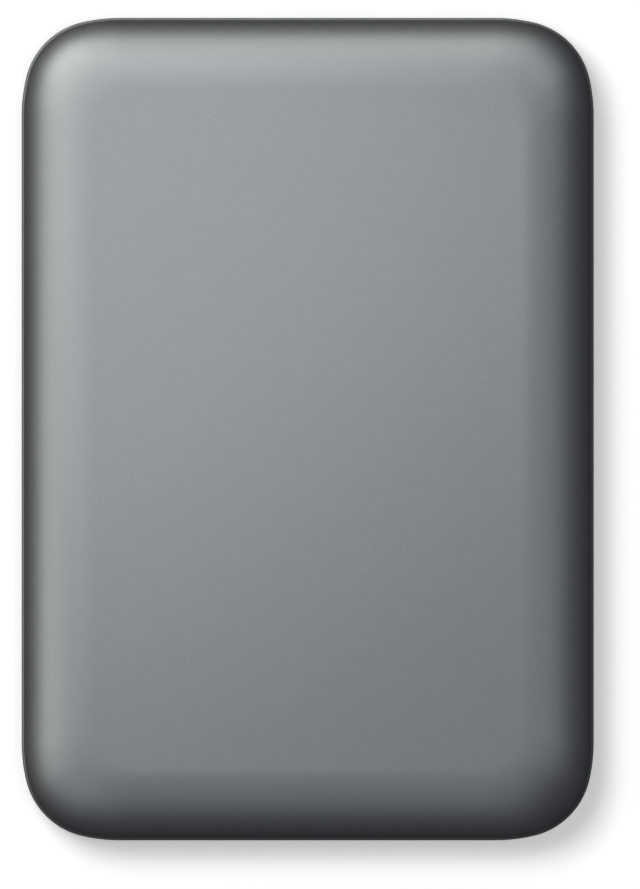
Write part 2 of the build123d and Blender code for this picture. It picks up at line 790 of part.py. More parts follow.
with BuildPart() as stator_core:
    with BuildSketch(spindle.offset(stator_z)):
        Circle(boss_radius + fit_gap + stator_core_width)
        with PolarLocations(boss_radius, stator_teeth):
            Rectangle(tooth_tip_inner - boss_radius + tooth_tip / 2, tooth_width, align=(Align.MIN, Align.CENTER))
        with PolarLocations(0, stator_teeth):
            add(sector(tooth_tip_inner, stator_radius, -tooth_tip_angle / 2, tooth_tip_angle / 2))
        Circle(boss_radius + fit_gap, mode=Mode.SUBTRACT)
    extrude(amount=stator_thickness)
pieces["stator_core"] = stator_core

with BuildPart() as stator_coils:
    with BuildSketch(spindle.offset(stator_z - winding_build)):
        with PolarLocations(winding_reach, stator_teeth):
            Rectangle(winding_length, winding_width, align=(Align.MAX, Align.CENTER))
    extrude(amount=stator_thickness + 2 * winding_build)
    with BuildSketch(spindle.offset(stator_z - fit_gap)):
        with PolarLocations(winding_reach, stator_teeth):
            Rectangle(3 * winding_length, tooth_width + 2 * fit_gap)
    extrude(amount=stator_thickness + 2 * fit_gap, mode=Mode.SUBTRACT)
pieces["stator_coils"] = stator_coils

# Turning pieces of the spindle: hub, shaft, magnet ring, platter, clamp and its screw
with BuildPart() as spindle_hub:
    with BuildSketch(spindle_section):
        with BuildLine():
            Polyline(
                (shaft_radius + fit_gap, hub_underside),
                (magnet_ring_radius + fit_gap, hub_underside),
                (magnet_ring_radius + fit_gap, well_floor + rotor_gap),
                (hub_flange_radius, well_floor + rotor_gap),
                (hub_flange_radius, platter_z),
                (platter_bore_radius - run_gap, platter_z),
                (platter_bore_radius - run_gap, hub_top),
                (shaft_radius + fit_gap, hub_top),
                close=True,
            )
        make_face()
    revolve(axis=spindle_axis)
pieces["spindle_hub"] = spindle_hub

with BuildPart() as spindle_shaft:
    with BuildSketch(spindle.offset(drive_bottom + sleeve_recess + sleeve_floor + run_gap)):
        Circle(shaft_radius)
    extrude(amount=hub_top - drive_bottom - sleeve_recess - sleeve_floor - run_gap)
    with BuildSketch(spindle.offset(hub_top)):
        Circle(screw_radius + fit_gap)
    extrude(amount=-screw_length, mode=Mode.SUBTRACT)
pieces["spindle_shaft"] = spindle_shaft

with BuildPart() as rotor_magnet:
    with BuildSketch(spindle.offset(well_floor + rotor_gap)):
        Circle(magnet_ring_radius)
        Circle(magnet_ring_radius - magnet_ring_thickness, mode=Mode.SUBTRACT)
    extrude(amount=hub_underside - well_floor - rotor_gap)
pieces["rotor_magnet"] = rotor_magnet

with BuildPart() as platter:
    with BuildSketch(spindle.offset(platter_z)):
        Circle(platter_radius)
        Circle(platter_bore_radius, mode=Mode.SUBTRACT)
    extrude(amount=platter_thickness)
pieces["platter"] = platter

with BuildPart() as disc_clamp:
    with BuildSketch(spindle_section):
        with BuildLine():
            Polyline(
                (screw_radius + fit_gap, hub_top),
                (platter_bore_radius + hub_rise, hub_top),
                (platter_bore_radius + 2 * hub_rise, platter_top),
                (platter_bore_radius + clamp_overlap, platter_top),
                (platter_bore_radius + clamp_overlap, platter_top + hub_rise),
                (platter_bore_radius + clamp_overlap - clamp_bevel, clamp_top),
                (screw_radius + fit_gap, clamp_top),
                close=True,
            )
        make_face()
    revolve(axis=spindle_axis)
    with BuildSketch(spindle.offset(hub_top)):
        with PolarLocations(clamp_hole_ring, clamp_holes):
            Circle(clamp_hole_radius)
    extrude(amount=clamp_thickness, mode=Mode.SUBTRACT)
pieces["disc_clamp"] = disc_clamp

with BuildPart() as clamp_screw:
    with BuildSketch(spindle.offset(clamp_top)):
        Circle(clamp_screw_head_radius)
    extrude(amount=clamp_screw_head_height)
    with BuildSketch(spindle.offset(clamp_top)):
        Circle(screw_radius)
    extrude(amount=-screw_length)
pieces["clamp_screw"] = clamp_screw

# Pivot shaft, fixed between the base and the cover
with BuildPart() as pivot_shaft:
    with BuildSketch(pivot.offset(pocket_roof)):
        Circle(pivot_stud_radius)
    extrude(amount=bay_skin)
    with BuildSketch(pivot.offset(bay_floor)):
        Circle(pivot_foot_radius)
    extrude(amount=arm_floor_gap)
    with BuildSketch(pivot.offset(bay_floor)):
        Circle(pivot_shaft_radius)
    extrude(amount=cover_z - bay_floor)
    with BuildSketch(pivot.offset(cover_z)):
        Circle(screw_radius + fit_gap)
    extrude(amount=-screw_length, mode=Mode.SUBTRACT)
pieces["pivot_shaft"] = pivot_shaft

# Swinging pieces: bearings in a sleeve, the arm block, coil, two suspensions and their heads
for name, z in (("lower", lower_arm_z + bearing_margin), ("upper", arm_top - bearing_margin - bearing_height)):
    with BuildPart() as bearing:
        with BuildSketch(pivot.offset(z)):
            Circle(bearing_radius)
            Circle(pivot_shaft_radius + run_gap, mode=Mode.SUBTRACT)
        extrude(amount=bearing_height)
    pieces[f"pivot_bearing_{name}"] = bearing

with BuildPart() as pivot_sleeve:
    with BuildSketch(pivot.offset(lower_arm_z)):
        Circle(pivot_sleeve_radius)
        Circle(bearing_radius + fit_gap, mode=Mode.SUBTRACT)
    extrude(amount=arm_top - lower_arm_z)
pieces["pivot_sleeve"] = pivot_sleeve

with BuildPart() as actuator_arm:
    with BuildSketch(pivot.offset(lower_arm_z)):
        Circle(arm_hub_radius)
    extrude(amount=arm_top - lower_arm_z)
    for z in (lower_arm_z, upper_arm_z):
        with BuildSketch(arm.offset(z)):
            Circle(arm_hub_radius)
            with Locations((arm_length - arm_tip_radius, 0)):
                Circle(arm_tip_radius)
            make_hull()
            with Locations((arm_length / 2, 0)):
                SlotCenterToCenter(arm_length / 4, 2 * arm_window_radius, mode=Mode.SUBTRACT)
        extrude(amount=arm_thickness)
    with BuildSketch(coil.offset(coil_z)):
        add(sector(arm_hub_radius - coil_bond, coil_outer - fork_setback, -fork_half_angle, fork_half_angle))
        add(coil_plan(coil_bond), mode=Mode.SUBTRACT)
    extrude(amount=coil_thickness)
    with BuildSketch(pivot.offset(ribbon_z)):
        with Locations((ribbon_pad_x, 0)):
            Rectangle(ribbon_pad_width, arm_hub_radius + ribbon_pad_rise, align=(Align.CENTER, Align.MIN))
    extrude(amount=ribbon_height)
    with BuildSketch(pivot.offset(lower_arm_z)):
        Circle(pivot_sleeve_radius + fit_gap)
    extrude(amount=arm_top - lower_arm_z, mode=Mode.SUBTRACT)
pieces["actuator_arm"] = actuator_arm

with BuildPart() as voice_coil:
    with BuildSketch(coil.offset(coil_z)):
        add(coil_plan(0))
        add(coil_plan(-coil_band), mode=Mode.SUBTRACT)
    extrude(amount=coil_thickness)
pieces["voice_coil"] = voice_coil

for name, z in (("lower", lower_suspension_z), ("upper", upper_suspension_z)):
    with BuildPart() as suspension:
        with BuildSketch(arm.offset(z)):
            with Locations((arm_length - suspension_overlap, 0)):
                Circle(suspension_root_radius)
            with Locations((head_reach, 0)):
                Circle(suspension_tip_radius)
            make_hull()
            with Locations((head_reach, 0)):
                Rectangle(head_length / 2 + lift_tab_length, lift_tab_width, align=(Align.MIN, Align.CENTER))
        extrude(amount=suspension_thickness)
    pieces[f"suspension_{name}"] = suspension

for name, z in (("lower", lower_head_z), ("upper", upper_head_z)):
    with BuildPart() as head:
        with BuildSketch(arm.offset(z)):
            with Locations((head_reach, 0)):
                Rectangle(head_length, head_width)
        extrude(amount=head_height)
    pieces[f"head_{name}"] = head

# Voice coil motor: two yokes with the magnet between them, held apart by the crash stops
for name, z in (("lower", bay_floor), ("upper", upper_yoke_z)):
    with BuildPart() as yoke:
        with BuildSketch(pivot.offset(z)):
            add(sector(yoke_inner, yoke_outer, outer_stop_angle - yoke_end_angle, inner_stop_angle + yoke_end_angle))
        extrude(amount=yoke_thickness)
    pieces[f"yoke_{name}"] = yoke

with BuildPart() as coil_magnet:
    with BuildSketch(pivot.offset(magnet_z)):
        add(sector(coil_inner, coil_outer, outer_stop_angle + stop_clear, inner_stop_angle - stop_clear))
    extrude(amount=magnet_thickness)
pieces["coil_magnet"] = coil_magnet

for name, angle in (("outer", outer_stop_angle), ("inner", inner_stop_angle)):
    with BuildPart() as stop:
        with BuildSketch(turned(pivot, angle).offset(bay_floor + yoke_thickness)):
            with Locations((stop_ring, 0)):
                Circle(stop_radius)
        extrude(amount=upper_yoke_z - bay_floor - yoke_thickness)
    pieces[f"crash_stop_{name}"] = stop

# Load ramp: a tongue reaches over and under the edge of the platter, and the lift tabs rest on it when parked
with BuildPart() as load_ramp:
    with BuildSketch(pivot.offset(platter_z - ramp_slot_gap - ramp_tongue)):
        add(sector(ramp_inner, ramp_outer, spindle_angle - ramp_rest_angle, spindle_angle - ramp_tip_angle))
    extrude(amount=platter_thickness + 2 * (ramp_slot_gap + ramp_tongue))
    with BuildSketch(pivot.offset(bay_floor)):
        add(sector(ramp_outer, ramp_outer + ramp_body_width,
                   spindle_angle - ramp_rest_angle, spindle_angle - ramp_body_angle))
    extrude(amount=platter_top + ramp_slot_gap + ramp_tongue - bay_floor)
    with BuildSketch(spindle.offset(platter_z - ramp_slot_gap)):
        Circle(platter_radius + ramp_rim_gap)
    extrude(amount=platter_thickness + 2 * ramp_slot_gap, mode=Mode.SUBTRACT)
pieces["load_ramp"] = load_ramp

# Ribbon from the arm block round a loop to its bracket, and the air filter against the bay wall
with BuildPart() as flex_circuit:
    with BuildSketch(pivot.offset(ribbon_z)):
        with Locations((-ribbon_offset, ribbon_start_y + ribbon_loop_radius)):
            add(sector(ribbon_loop_radius - ribbon_thickness / 2, ribbon_loop_radius + ribbon_thickness / 2, 90, 270))
        with Locations((-ribbon_offset, ribbon_start_y), (-ribbon_offset, ribbon_start_y + 2 * ribbon_loop_radius)):
            Rectangle(ribbon_pad_width, ribbon_thickness, align=(Align.MIN, Align.CENTER))
    extrude(amount=ribbon_height)
pieces["flex_circuit"] = flex_circuit

with BuildPart() as flex_bracket:
    with BuildSketch(pivot.offset(bay_floor)):
        with Locations((-ribbon_offset, ribbon_end_y)):
            Rectangle(bracket_width, bracket_depth, align=(Align.CENTER, Align.MIN))
    extrude(amount=bracket_height)
pieces["flex_bracket"] = flex_bracket

with BuildPart() as air_filter:
    with BuildSketch(Plane.XY.offset(bay_floor)):
        with Locations((bay_left_wall - drive_width / 2, pivot_y + filter_width / 2)):
            Rectangle(filter_thickness, filter_width, align=(Align.MIN, Align.CENTER))
    extrude(amount=filter_height)
pieces["air_filter"] = air_filter

# Drive board in its pocket under the base, its chips on the side toward the base, and the drive's plug
with BuildPart() as drive_board:
    with BuildSketch(Plane.XY.offset(board_top - board_thickness)):
        with Locations((0, pocket_front_y + board_edge_gap)):
            Rectangle(2 * board_half_width, plug_face_y - pocket_front_y - board_edge_gap,
                      align=(Align.CENTER, Align.MIN))
    extrude(amount=board_thickness)
    with Locations(*[(x, y, board_top) for x, y in board_screw_spots]):
        Hole(screw_radius + run_gap)
pieces["drive_board"] = drive_board

for name, x, y, width, depth in board_chips:
    with BuildPart() as chip:
        with BuildSketch(Plane.XY.offset(board_top)):
            with Locations((x, y)):
                Rectangle(width, depth)
        extrude(amount=chip_height)
    pieces[name] = chip

with BuildPart() as board_screws:
    with BuildSketch(Plane.XY.offset(board_top - board_thickness)):
        with Locations(*board_screw_spots):
            Circle(cover_screw_head_radius)
    extrude(amount=-board_recess)
    with BuildSketch(Plane.XY.offset(board_top - board_thickness)):
        with Locations(*board_screw_spots):
            Circle(screw_radius)
    extrude(amount=board_thickness + board_screw_length - chip_gap)
pieces["board_screws"] = board_screws

with BuildPart() as sata_plug:
    with BuildSketch(Plane.XY.offset(board_top)):
        with Locations((sata_x, plug_back_y)):
            Rectangle(plug_width, plug_depth, align=(Align.CENTER, Align.MIN))
    extrude(amount=plug_height)
    with BuildSketch(Plane.XY.offset(tongue_z - tongue_thickness / 2)):
        with Locations((signal_x, plug_face_y)):
            Rectangle(signal_width, tongue_length, align=(Align.CENTER, Align.MIN))
        with Locations((power_x, plug_face_y)):
            Rectangle(power_width, tongue_length, align=(Align.CENTER, Align.MIN))
    extrude(amount=tongue_thickness)
pieces["sata_plug"] = sata_plug

with BuildPart() as sata_contacts:
    with BuildSketch(Plane.XY.offset(tongue_z + tongue_thickness / 2)):
        with Locations((signal_x, plug_face_y + tongue_length / 2)):
            with GridLocations(contact_pitch, 1, signal_contacts, 1):
                Rectangle(contact_width, tongue_length - 2 * tongue_setback)
        with Locations((power_x, plug_face_y + tongue_length / 2)):
            with GridLocations(contact_pitch, 1, power_contacts, 1):
                Rectangle(contact_width, tongue_length - 2 * tongue_setback)
    extrude(amount=contact_thickness)
pieces["sata_contacts"] = sata_contacts

# Bridge board on its posts, with the socket that mates with the drive at one edge and the USB socket at the other
with BuildPart() as sata_socket:
    with BuildSketch(Plane.XY.offset(tongue_z - socket_height / 2)):
        with Locations((sata_x, socket_front_y)):
            Rectangle(socket_width, socket_depth, align=(Align.CENTER, Align.MIN))
    extrude(amount=socket_height)
    with BuildSketch(Plane.XY.offset(tongue_z - tongue_thickness / 2 - socket_slot_gap)):
        with Locations((signal_x, socket_front_y)):
            Rectangle(signal_width + 2 * socket_slot_gap, socket_slot_depth, align=(Align.CENTER, Align.MIN))
        with Locations((power_x, socket_front_y)):
            Rectangle(power_width + 2 * socket_slot_gap, socket_slot_depth, align=(Align.CENTER, Align.MIN))
    extrude(amount=tongue_thickness + 3 * socket_slot_gap + contact_thickness, mode=Mode.SUBTRACT)
pieces["sata_socket"] = sata_socket

with BuildPart() as bridge_board:
    with BuildSketch(Plane.XY.offset(bridge_z)):
        with BuildLine():
            Polyline(
                (bridge_left, socket_back_y),
                (bridge_right, socket_back_y),
                (bridge_right, bridge_rear_y),
                (bridge_left, bridge_rear_y),
                close=True,
            )
        make_face()
        with Locations((usb_x, usb_mouth_y - usb_depth - bridge_notch_gap)):
            Rectangle(usb_width + 2 * fit_gap, usb_depth + 2 * wall, align=(Align.CENTER, Align.MIN),
                      mode=Mode.SUBTRACT)
    extrude(amount=bridge_thickness)
pieces["bridge_board"] = bridge_board

with BuildPart() as bridge_chip:
    with BuildSketch(Plane.XY.offset(bridge_top)):
        with Locations((bridge_chip_x, bridge_middle_y)):
            Rectangle(bridge_chip_size, bridge_chip_size)
    extrude(amount=bridge_chip_height)
pieces["bridge_chip"] = bridge_chip

with BuildPart() as bridge_crystal:
    with BuildSketch(Plane.XY.offset(bridge_top)):
        with Locations((crystal_x, bridge_middle_y)):
            Rectangle(crystal_length, crystal_width)
    extrude(amount=crystal_height)
pieces["bridge_crystal"] = bridge_crystal

with BuildPart() as status_led:
    with BuildSketch(Plane.XY.offset(bridge_top)):
        with Locations((led_x, led_y)):
            Rectangle(led_width, led_depth, align=(Align.CENTER, Align.MIN))
    extrude(amount=led_height)
pieces["status_led"] = status_led

with BuildPart() as light_pipe:
    with BuildSketch(Plane(origin=(led_x, rear_y - pipe_setback, pipe_z), x_dir=(1, 0, 0), z_dir=(0, -1, 0))):
        Circle(pipe_radius)
    extrude(amount=rear_y - pipe_setback - bridge_rear_y)
pieces["light_pipe"] = light_pipe

with BuildPart() as usb_shell:
    with BuildSketch(usb_mouth):
        add(usb_outline(0))
    extrude(amount=usb_depth)
    with BuildSketch(usb_mouth):
        add(usb_outline(-usb_sheet))
    extrude(amount=usb_depth - usb_sheet, mode=Mode.SUBTRACT)
pieces["usb_shell"] = usb_shell

with BuildPart() as usb_tongue:
    with BuildSketch(usb_mouth.offset(usb_depth - usb_sheet)):
        add(usb_outline(-usb_sheet - fit_gap))
    extrude(amount=-usb_block_depth)
    with BuildSketch(usb_mouth.offset(usb_tongue_setback)):
        with Locations((usb_main_x, 0)):
            Rectangle(usb_main_width - 2 * (usb_sheet + usb_tongue_side_gap), usb_tongue_thickness)
        with Locations((usb_side_x, 0)):
            Rectangle(usb_side_width - 2 * (usb_sheet + usb_tongue_side_gap / 2), usb_tongue_thickness)
    extrude(amount=usb_depth - usb_sheet - usb_tongue_setback)
pieces["usb_tongue"] = usb_tongue

with BuildPart() as usb_contacts:
    with BuildSketch(usb_mouth.offset(usb_tongue_setback + usb_sheet)):
        with Locations((usb_main_x, usb_contact_y), (usb_side_x, usb_contact_y)):
            with GridLocations(usb_contact_pitch, 1, usb_contacts_each, 1):
                Rectangle(usb_contact_width, usb_contact_thickness)
    extrude(amount=usb_depth - usb_block_depth - 2 * usb_sheet - usb_tongue_setback)
pieces["usb_contacts"] = usb_contacts

os.makedirs("parts", exist_ok=True)
for name, piece in pieces.items():
    piece.part.label = name
    export_step(piece.part, f"parts/{name}.step")
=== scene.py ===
"""Portable external hard drive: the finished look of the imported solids.

Laid out as an add-on and run as a script.
"""
from math import asin, cos, degrees, pi, radians, sin

import bmesh
import bpy
from bpy.props import FloatProperty, FloatVectorProperty, PointerProperty
from mathutils import Matrix, Vector


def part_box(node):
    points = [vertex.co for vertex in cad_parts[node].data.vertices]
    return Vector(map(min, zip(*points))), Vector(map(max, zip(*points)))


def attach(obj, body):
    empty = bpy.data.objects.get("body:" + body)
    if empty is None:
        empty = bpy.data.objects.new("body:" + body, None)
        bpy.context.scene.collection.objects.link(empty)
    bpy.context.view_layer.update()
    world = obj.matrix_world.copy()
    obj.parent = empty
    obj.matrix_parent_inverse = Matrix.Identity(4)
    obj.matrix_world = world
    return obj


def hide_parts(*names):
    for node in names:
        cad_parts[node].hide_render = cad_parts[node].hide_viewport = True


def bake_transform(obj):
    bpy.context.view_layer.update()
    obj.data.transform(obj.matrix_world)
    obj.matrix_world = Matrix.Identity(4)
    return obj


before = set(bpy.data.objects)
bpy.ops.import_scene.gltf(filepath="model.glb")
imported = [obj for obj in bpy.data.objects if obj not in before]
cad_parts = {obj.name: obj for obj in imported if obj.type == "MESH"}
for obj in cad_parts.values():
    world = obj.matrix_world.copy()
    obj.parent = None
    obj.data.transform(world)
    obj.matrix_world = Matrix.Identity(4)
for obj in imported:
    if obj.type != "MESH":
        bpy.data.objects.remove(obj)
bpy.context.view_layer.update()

bl_info = {
    "name": "Portable hard drive",
    "version": (1, 0, 0),
    "blender": (4, 5, 0),
    "location": "3D View > Sidebar > Drive",
    "description": "Dresses the solids of a portable hard drive and sets up its studio",
    "category": "Object",
}

MM = 0.001
# A cover's section runs this far past its rounded edge, and a flat face fills the rest
FLAT_MARGIN = 0.3 * MM
# A cutting tool starts this far outside the face that it cuts
CUT_MARGIN = 1 * MM
# How far the tools for the rear openings reach into the case
OPENING_DEPTH = 7 * MM
# Points of a swept mesh that are closer than this, in metres, become one
MERGE_DISTANCE = 1e-7
# Edges that turn by more than this, in degrees, are shaded sharp
SHARP_ANGLE = 35
# Steps of each straight run, leading arc and middle arc in the case's outline
RUN_STEPS, LEAD_STEPS, CORE_STEPS = 6, 6, 28
# Sockets of a Mix node for colours: their names repeat, so they are given by their places
MIX_FACTOR, MIX_FIRST, MIX_SECOND, MIX_RESULT = 0, 6, 7, 2
# Width of one band of the wave pattern, as a share of its unit
WAVE_BAND = 0.314

tray_low, tray_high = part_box("bottom_cover")
roof_low, roof_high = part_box("top_cover")
foot_low, foot_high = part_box("rubber_foot_front_left")
shell_low, shell_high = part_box("usb_shell")
pipe_low, pipe_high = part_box("light_pipe")
ribbon_low, ribbon_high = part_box("flex_circuit")
foot_radius = (foot_high.x - foot_low.x) / 2
pipe_radius = (pipe_high.x - pipe_low.x) / 2
foot_nodes = [f"rubber_foot_{row}_{side}"
              for row in ("front", "rear") for side in ("left", "right")]


# Colours and nodes

def linear(colour):
    """A colour written as sRGB hex, as the linear RGBA that the shaders take."""
    channels = [int(colour[i:i + 2], 16) / 255 for i in (1, 3, 5)]
    return [c / 12.92 if c <= 0.04045 else ((c + 0.055) / 1.055) ** 2.4 for c in channels] + [1.0]


def empty_tree(owner):
    """The node tree of a material or of a world, with nothing in it."""
    owner.use_nodes = True
    owner.node_tree.nodes.clear()
    return owner.node_tree


def add_node(tree, kind, inputs=(), **settings):
    """Adds a node with its settings; each input gets a value or a link from another's output."""
    node = tree.nodes.new(kind)
    for name, value in settings.items():
        setattr(node, name, value)
    for name, value in dict(inputs).items():
        if isinstance(value, bpy.types.NodeSocket):
            tree.links.new(value, node.inputs[name])
        else:
            node.inputs[name].default_value = value
    return node


def make_finish(name, tone, roughness, metallic=0.0, texture="ShaderNodeTexNoise",
                grain=0.5 * MM, stretch=(1, 1, 1), mottle=0.08, relief=0.0, spread=0.06,
                shader=(), **settings):
    """A surface whose colour, gloss and relief vary over a pattern with the given grain in metres.

    mottle is the share by which the colour varies, spread how far the roughness does, and relief
    the depth of the pattern in metres. stretch scales the pattern along each axis, shader holds
    further inputs of the shader, and settings are those of the pattern's node.
    """
    material = bpy.data.materials.new(name)
    tree = empty_tree(material)
    place = add_node(tree, "ShaderNodeTexCoord")
    scaled = add_node(tree, "ShaderNodeMapping", {
        "Vector": place.outputs["Object"], "Scale": [s / grain for s in stretch]})
    unit = WAVE_BAND if texture == "ShaderNodeTexWave" else 1.0
    pattern = add_node(tree, texture, {"Vector": scaled.outputs["Vector"], "Scale": unit},
                       **settings)
    height = pattern.outputs.get("Fac") or pattern.outputs["Distance"]
    tint = add_node(tree, "ShaderNodeMix", {
        MIX_FACTOR: height,
        MIX_FIRST: [c * (1 - mottle) for c in tone[:3]] + [1.0],
        MIX_SECOND: [min(1.0, c * (1 + mottle)) for c in tone[:3]] + [1.0]}, data_type="RGBA")
    gloss = add_node(tree, "ShaderNodeMapRange", {
        "Value": height, "To Min": max(0.0, roughness - spread),
        "To Max": min(1.0, roughness + spread)})
    bump = add_node(tree, "ShaderNodeBump", {
        "Height": height, "Distance": relief, "Strength": 1.0})
    surface = add_node(tree, "ShaderNodeBsdfPrincipled", {
        "Base Color": tint.outputs[MIX_RESULT], "Roughness": gloss.outputs["Result"],
        "Metallic": metallic, "Normal": bump.outputs["Normal"], **dict(shader)})
    add_node(tree, "ShaderNodeOutputMaterial", {"Surface": surface.outputs["BSDF"]})
    return material


# Places, plans and edge shapes

def middle(low, high):
    """The middle of a box, from its lowest and highest corners."""
    return [(a + b) / 2 for a, b in zip(low, high)]


def aim(compass, rise):
    """The direction at a compass angle from the right and an angle above the floor, in degrees."""
    compass, rise = radians(compass), radians(rise)
    return Vector((cos(rise) * cos(compass), cos(rise) * sin(compass), sin(rise)))


def case_plan(sizes, inset=0.0, core=None):
    """The outline of the case, anticlockwise: gentle arcs ease each side into its corners.

    An inset plan runs that far inside the outline, with the given radius in the middle of each
    corner.
    """
    lead, ease = sizes.lead_radius - inset, sizes.lead_angle
    core = core or sizes.core_radius
    half_width, half_length = sizes.case_width / 2 - inset, sizes.case_length / 2 - inset
    reach = lead * (sin(ease) + 1 - cos(ease)) + core * (cos(ease) - sin(ease))
    corner = [(lead, ease, LEAD_STEPS), (core, pi / 2 - 2 * ease, CORE_STEPS),
              (lead, ease, LEAD_STEPS)]
    point = Vector((0.0, -half_length))
    heading = 0.0
    points = []
    for side in range(4):
        before, after = half_width - reach, half_length - reach
        if side % 2:
            before, after = after, before
        moves = [(before, 0, RUN_STEPS)] + corner + [(after, 0, RUN_STEPS)]
        for size, turn, steps in moves:
            for _ in range(steps):
                step = 2 * size * sin(turn / steps / 2) if turn else size / steps
                heading += turn / steps / 2
                point = point + step * Vector((cos(heading), sin(heading)))
                heading += turn / steps / 2
                points.append(point)
    return points


def arc(centre, radius, start, end, steps):
    """Points on an arc from one angle to another, in degrees, both ends included."""
    angles = [radians(start + (end - start) * i / steps) for i in range(steps + 1)]
    return [(centre[0] + radius * cos(a), centre[1] + radius * sin(a)) for a in angles]


def circle(radius, steps):
    """The plan of a round piece."""
    return arc((0, 0), radius, 0, 360 * (1 - 1 / steps), steps - 1)


def rounded(corners, radius, steps):
    """The corners of a closed plan, each rounded by an arc of the given radius."""
    points = []
    for i, corner in enumerate(corners):
        here = Vector(corner)
        back = (Vector(corners[i - 1]) - here).normalized()
        ahead = (Vector(corners[(i + 1) % len(corners)]) - here).normalized()
        inward = (back + ahead).normalized()
        half = back.angle(ahead) / 2
        centre = here + inward * radius / sin(half)
        spread = pi / 2 - half
        side = 1 if back.cross(ahead) < 0 else -1
        for k in range(steps + 1):
            angle = side * spread * (2 * k / steps - 1)
            outward = Matrix.Rotation(angle, 2) @ -inward
            points.append(centre + radius * outward)
    return points


# Meshes

def add_object(name, data):
    """A new object in the scene for the given data."""
    made = bpy.data.objects.new(name, data)
    bpy.context.scene.collection.objects.link(made)
    return made


def make_curve(name, points, closed):
    """A curve object of straight runs through the points, in the XY plane."""
    curve = bpy.data.curves.new(name, "CURVE")
    curve.dimensions = "3D"
    spline = curve.splines.new("POLY")
    spline.points.add(len(points) - 1)
    for target, point in zip(spline.points, points):
        target.co = (point[0], point[1], 0.0, 1.0)
    spline.use_cyclic_u = closed
    return add_object(name, curve)


def start_tree(name, object_input):
    """A geometry tree that takes geometry, an object and a finish, and the node that gives them."""
    tree = bpy.data.node_groups.new(name, "GeometryNodeTree")
    inputs = [("Geometry", "NodeSocketGeometry"), (object_input, "NodeSocketObject"),
              ("Finish", "NodeSocketMaterial")]
    for label, kind in inputs:
        tree.interface.new_socket(label, in_out="INPUT", socket_type=kind)
    tree.interface.new_socket("Geometry", in_out="OUTPUT", socket_type="NodeSocketGeometry")
    return tree, add_node(tree, "NodeGroupInput")


def end_tree(tree, given, geometry):
    """Ends a geometry tree: its instances become real and the result gets the finish."""
    real = add_node(tree, "GeometryNodeRealizeInstances", {"Geometry": geometry})
    painted = add_node(tree, "GeometryNodeSetMaterial", {
        "Geometry": real.outputs["Geometry"], "Material": given.outputs["Finish"]})
    add_node(tree, "NodeGroupOutput", {"Geometry": painted.outputs["Geometry"]})
    return tree


def edge_sweep_tree():
    """Sweeps an edge shape along a plan: its first axis points inwards and its second one up."""
    tree, given = start_tree("edge_sweep", "Edge shape")
    shape = add_node(tree, "GeometryNodeObjectInfo", {"Object": given.outputs["Edge shape"]})
    level = add_node(tree, "GeometryNodeSetCurveNormal", {"Curve": given.outputs["Geometry"]},
                     mode="Z_UP")
    swept = add_node(tree, "GeometryNodeCurveToMesh", {
        "Curve": level.outputs["Curve"], "Profile Curve": shape.outputs["Geometry"],
        "Fill Caps": True})
    return end_tree(tree, given, swept.outputs["Mesh"])


def repeat_tree():
    """Puts a copy of one piece on each point."""
    tree, given = start_tree("repeat_on_points", "Piece")
    piece = add_node(tree, "GeometryNodeObjectInfo", {"Object": given.outputs["Piece"]})
    placed = add_node(tree, "GeometryNodeInstanceOnPoints", {
        "Points": given.outputs["Geometry"], "Instance": piece.outputs["Geometry"]})
    return end_tree(tree, given, placed.outputs["Instances"])


def grow(source, tree, values):
    """Runs a geometry tree on an object with the named input values; returns the mesh it makes."""
    modifier = source.modifiers.new(tree.name, "NODES")
    modifier.node_group = tree
    for item in tree.interface.items_tree:
        if item.in_out == "INPUT" and item.name in values:
            modifier[item.identifier] = values[item.name]
    evaluated = source.evaluated_get(bpy.context.evaluated_depsgraph_get())
    mesh = bpy.data.meshes.new_from_object(evaluated)
    source.modifiers.remove(modifier)
    return mesh


def sweep(plan, shape, finish, closed_plan=True, closed_shape=False, goal=()):
    """The closed mesh that an edge shape makes along a plan, with any opening in it filled.

    Where goal gives a second plan, the shape's last point follows that one, and the others lean
    towards it.
    """
    path = make_curve("plan", plan, closed_plan)
    # Along an anticlockwise plan the swept shape lies outside and upside down, so it is turned
    # half round
    edge = make_curve("edge_shape", [(-inward, -up) for inward, up in shape], closed_shape)
    tree = bpy.data.node_groups.get("edge_sweep") or edge_sweep_tree()
    mesh = grow(path, tree, {"Edge shape": edge, "Finish": finish})
    bpy.data.objects.remove(path)
    bpy.data.objects.remove(edge)
    reach = shape[-1][0]
    for i, place in enumerate(goal):
        ring = mesh.vertices[i * len(shape):(i + 1) * len(shape)]
        pull = place - ring[-1].co.xy
        for vertex, (inward, _) in zip(ring, shape):
            vertex.co.xy += pull * (inward / reach) ** 2
    form = bmesh.new()
    form.from_mesh(mesh)
    bmesh.ops.remove_doubles(form, verts=form.verts, dist=MERGE_DISTANCE)
    bmesh.ops.holes_fill(form, edges=[e for e in form.edges if e.is_boundary], sides=0)
    bmesh.ops.recalc_face_normals(form, faces=form.faces)
    form.to_mesh(mesh)
    form.free()
    return mesh


def shade(mesh, sharp):
    """Shades a mesh smooth, apart from edges that turn by more than the sharp angle in degrees."""
    mesh.shade_smooth()
    mesh.set_sharp_from_angle(angle=radians(sharp))


def place_piece(name, mesh, sharp=SHARP_ANGLE):
    """A finished piece with its place in its mesh, shaded smooth up to the sharp angle."""
    mesh.name = name
    shade(mesh, sharp)
    return add_object(name, mesh)


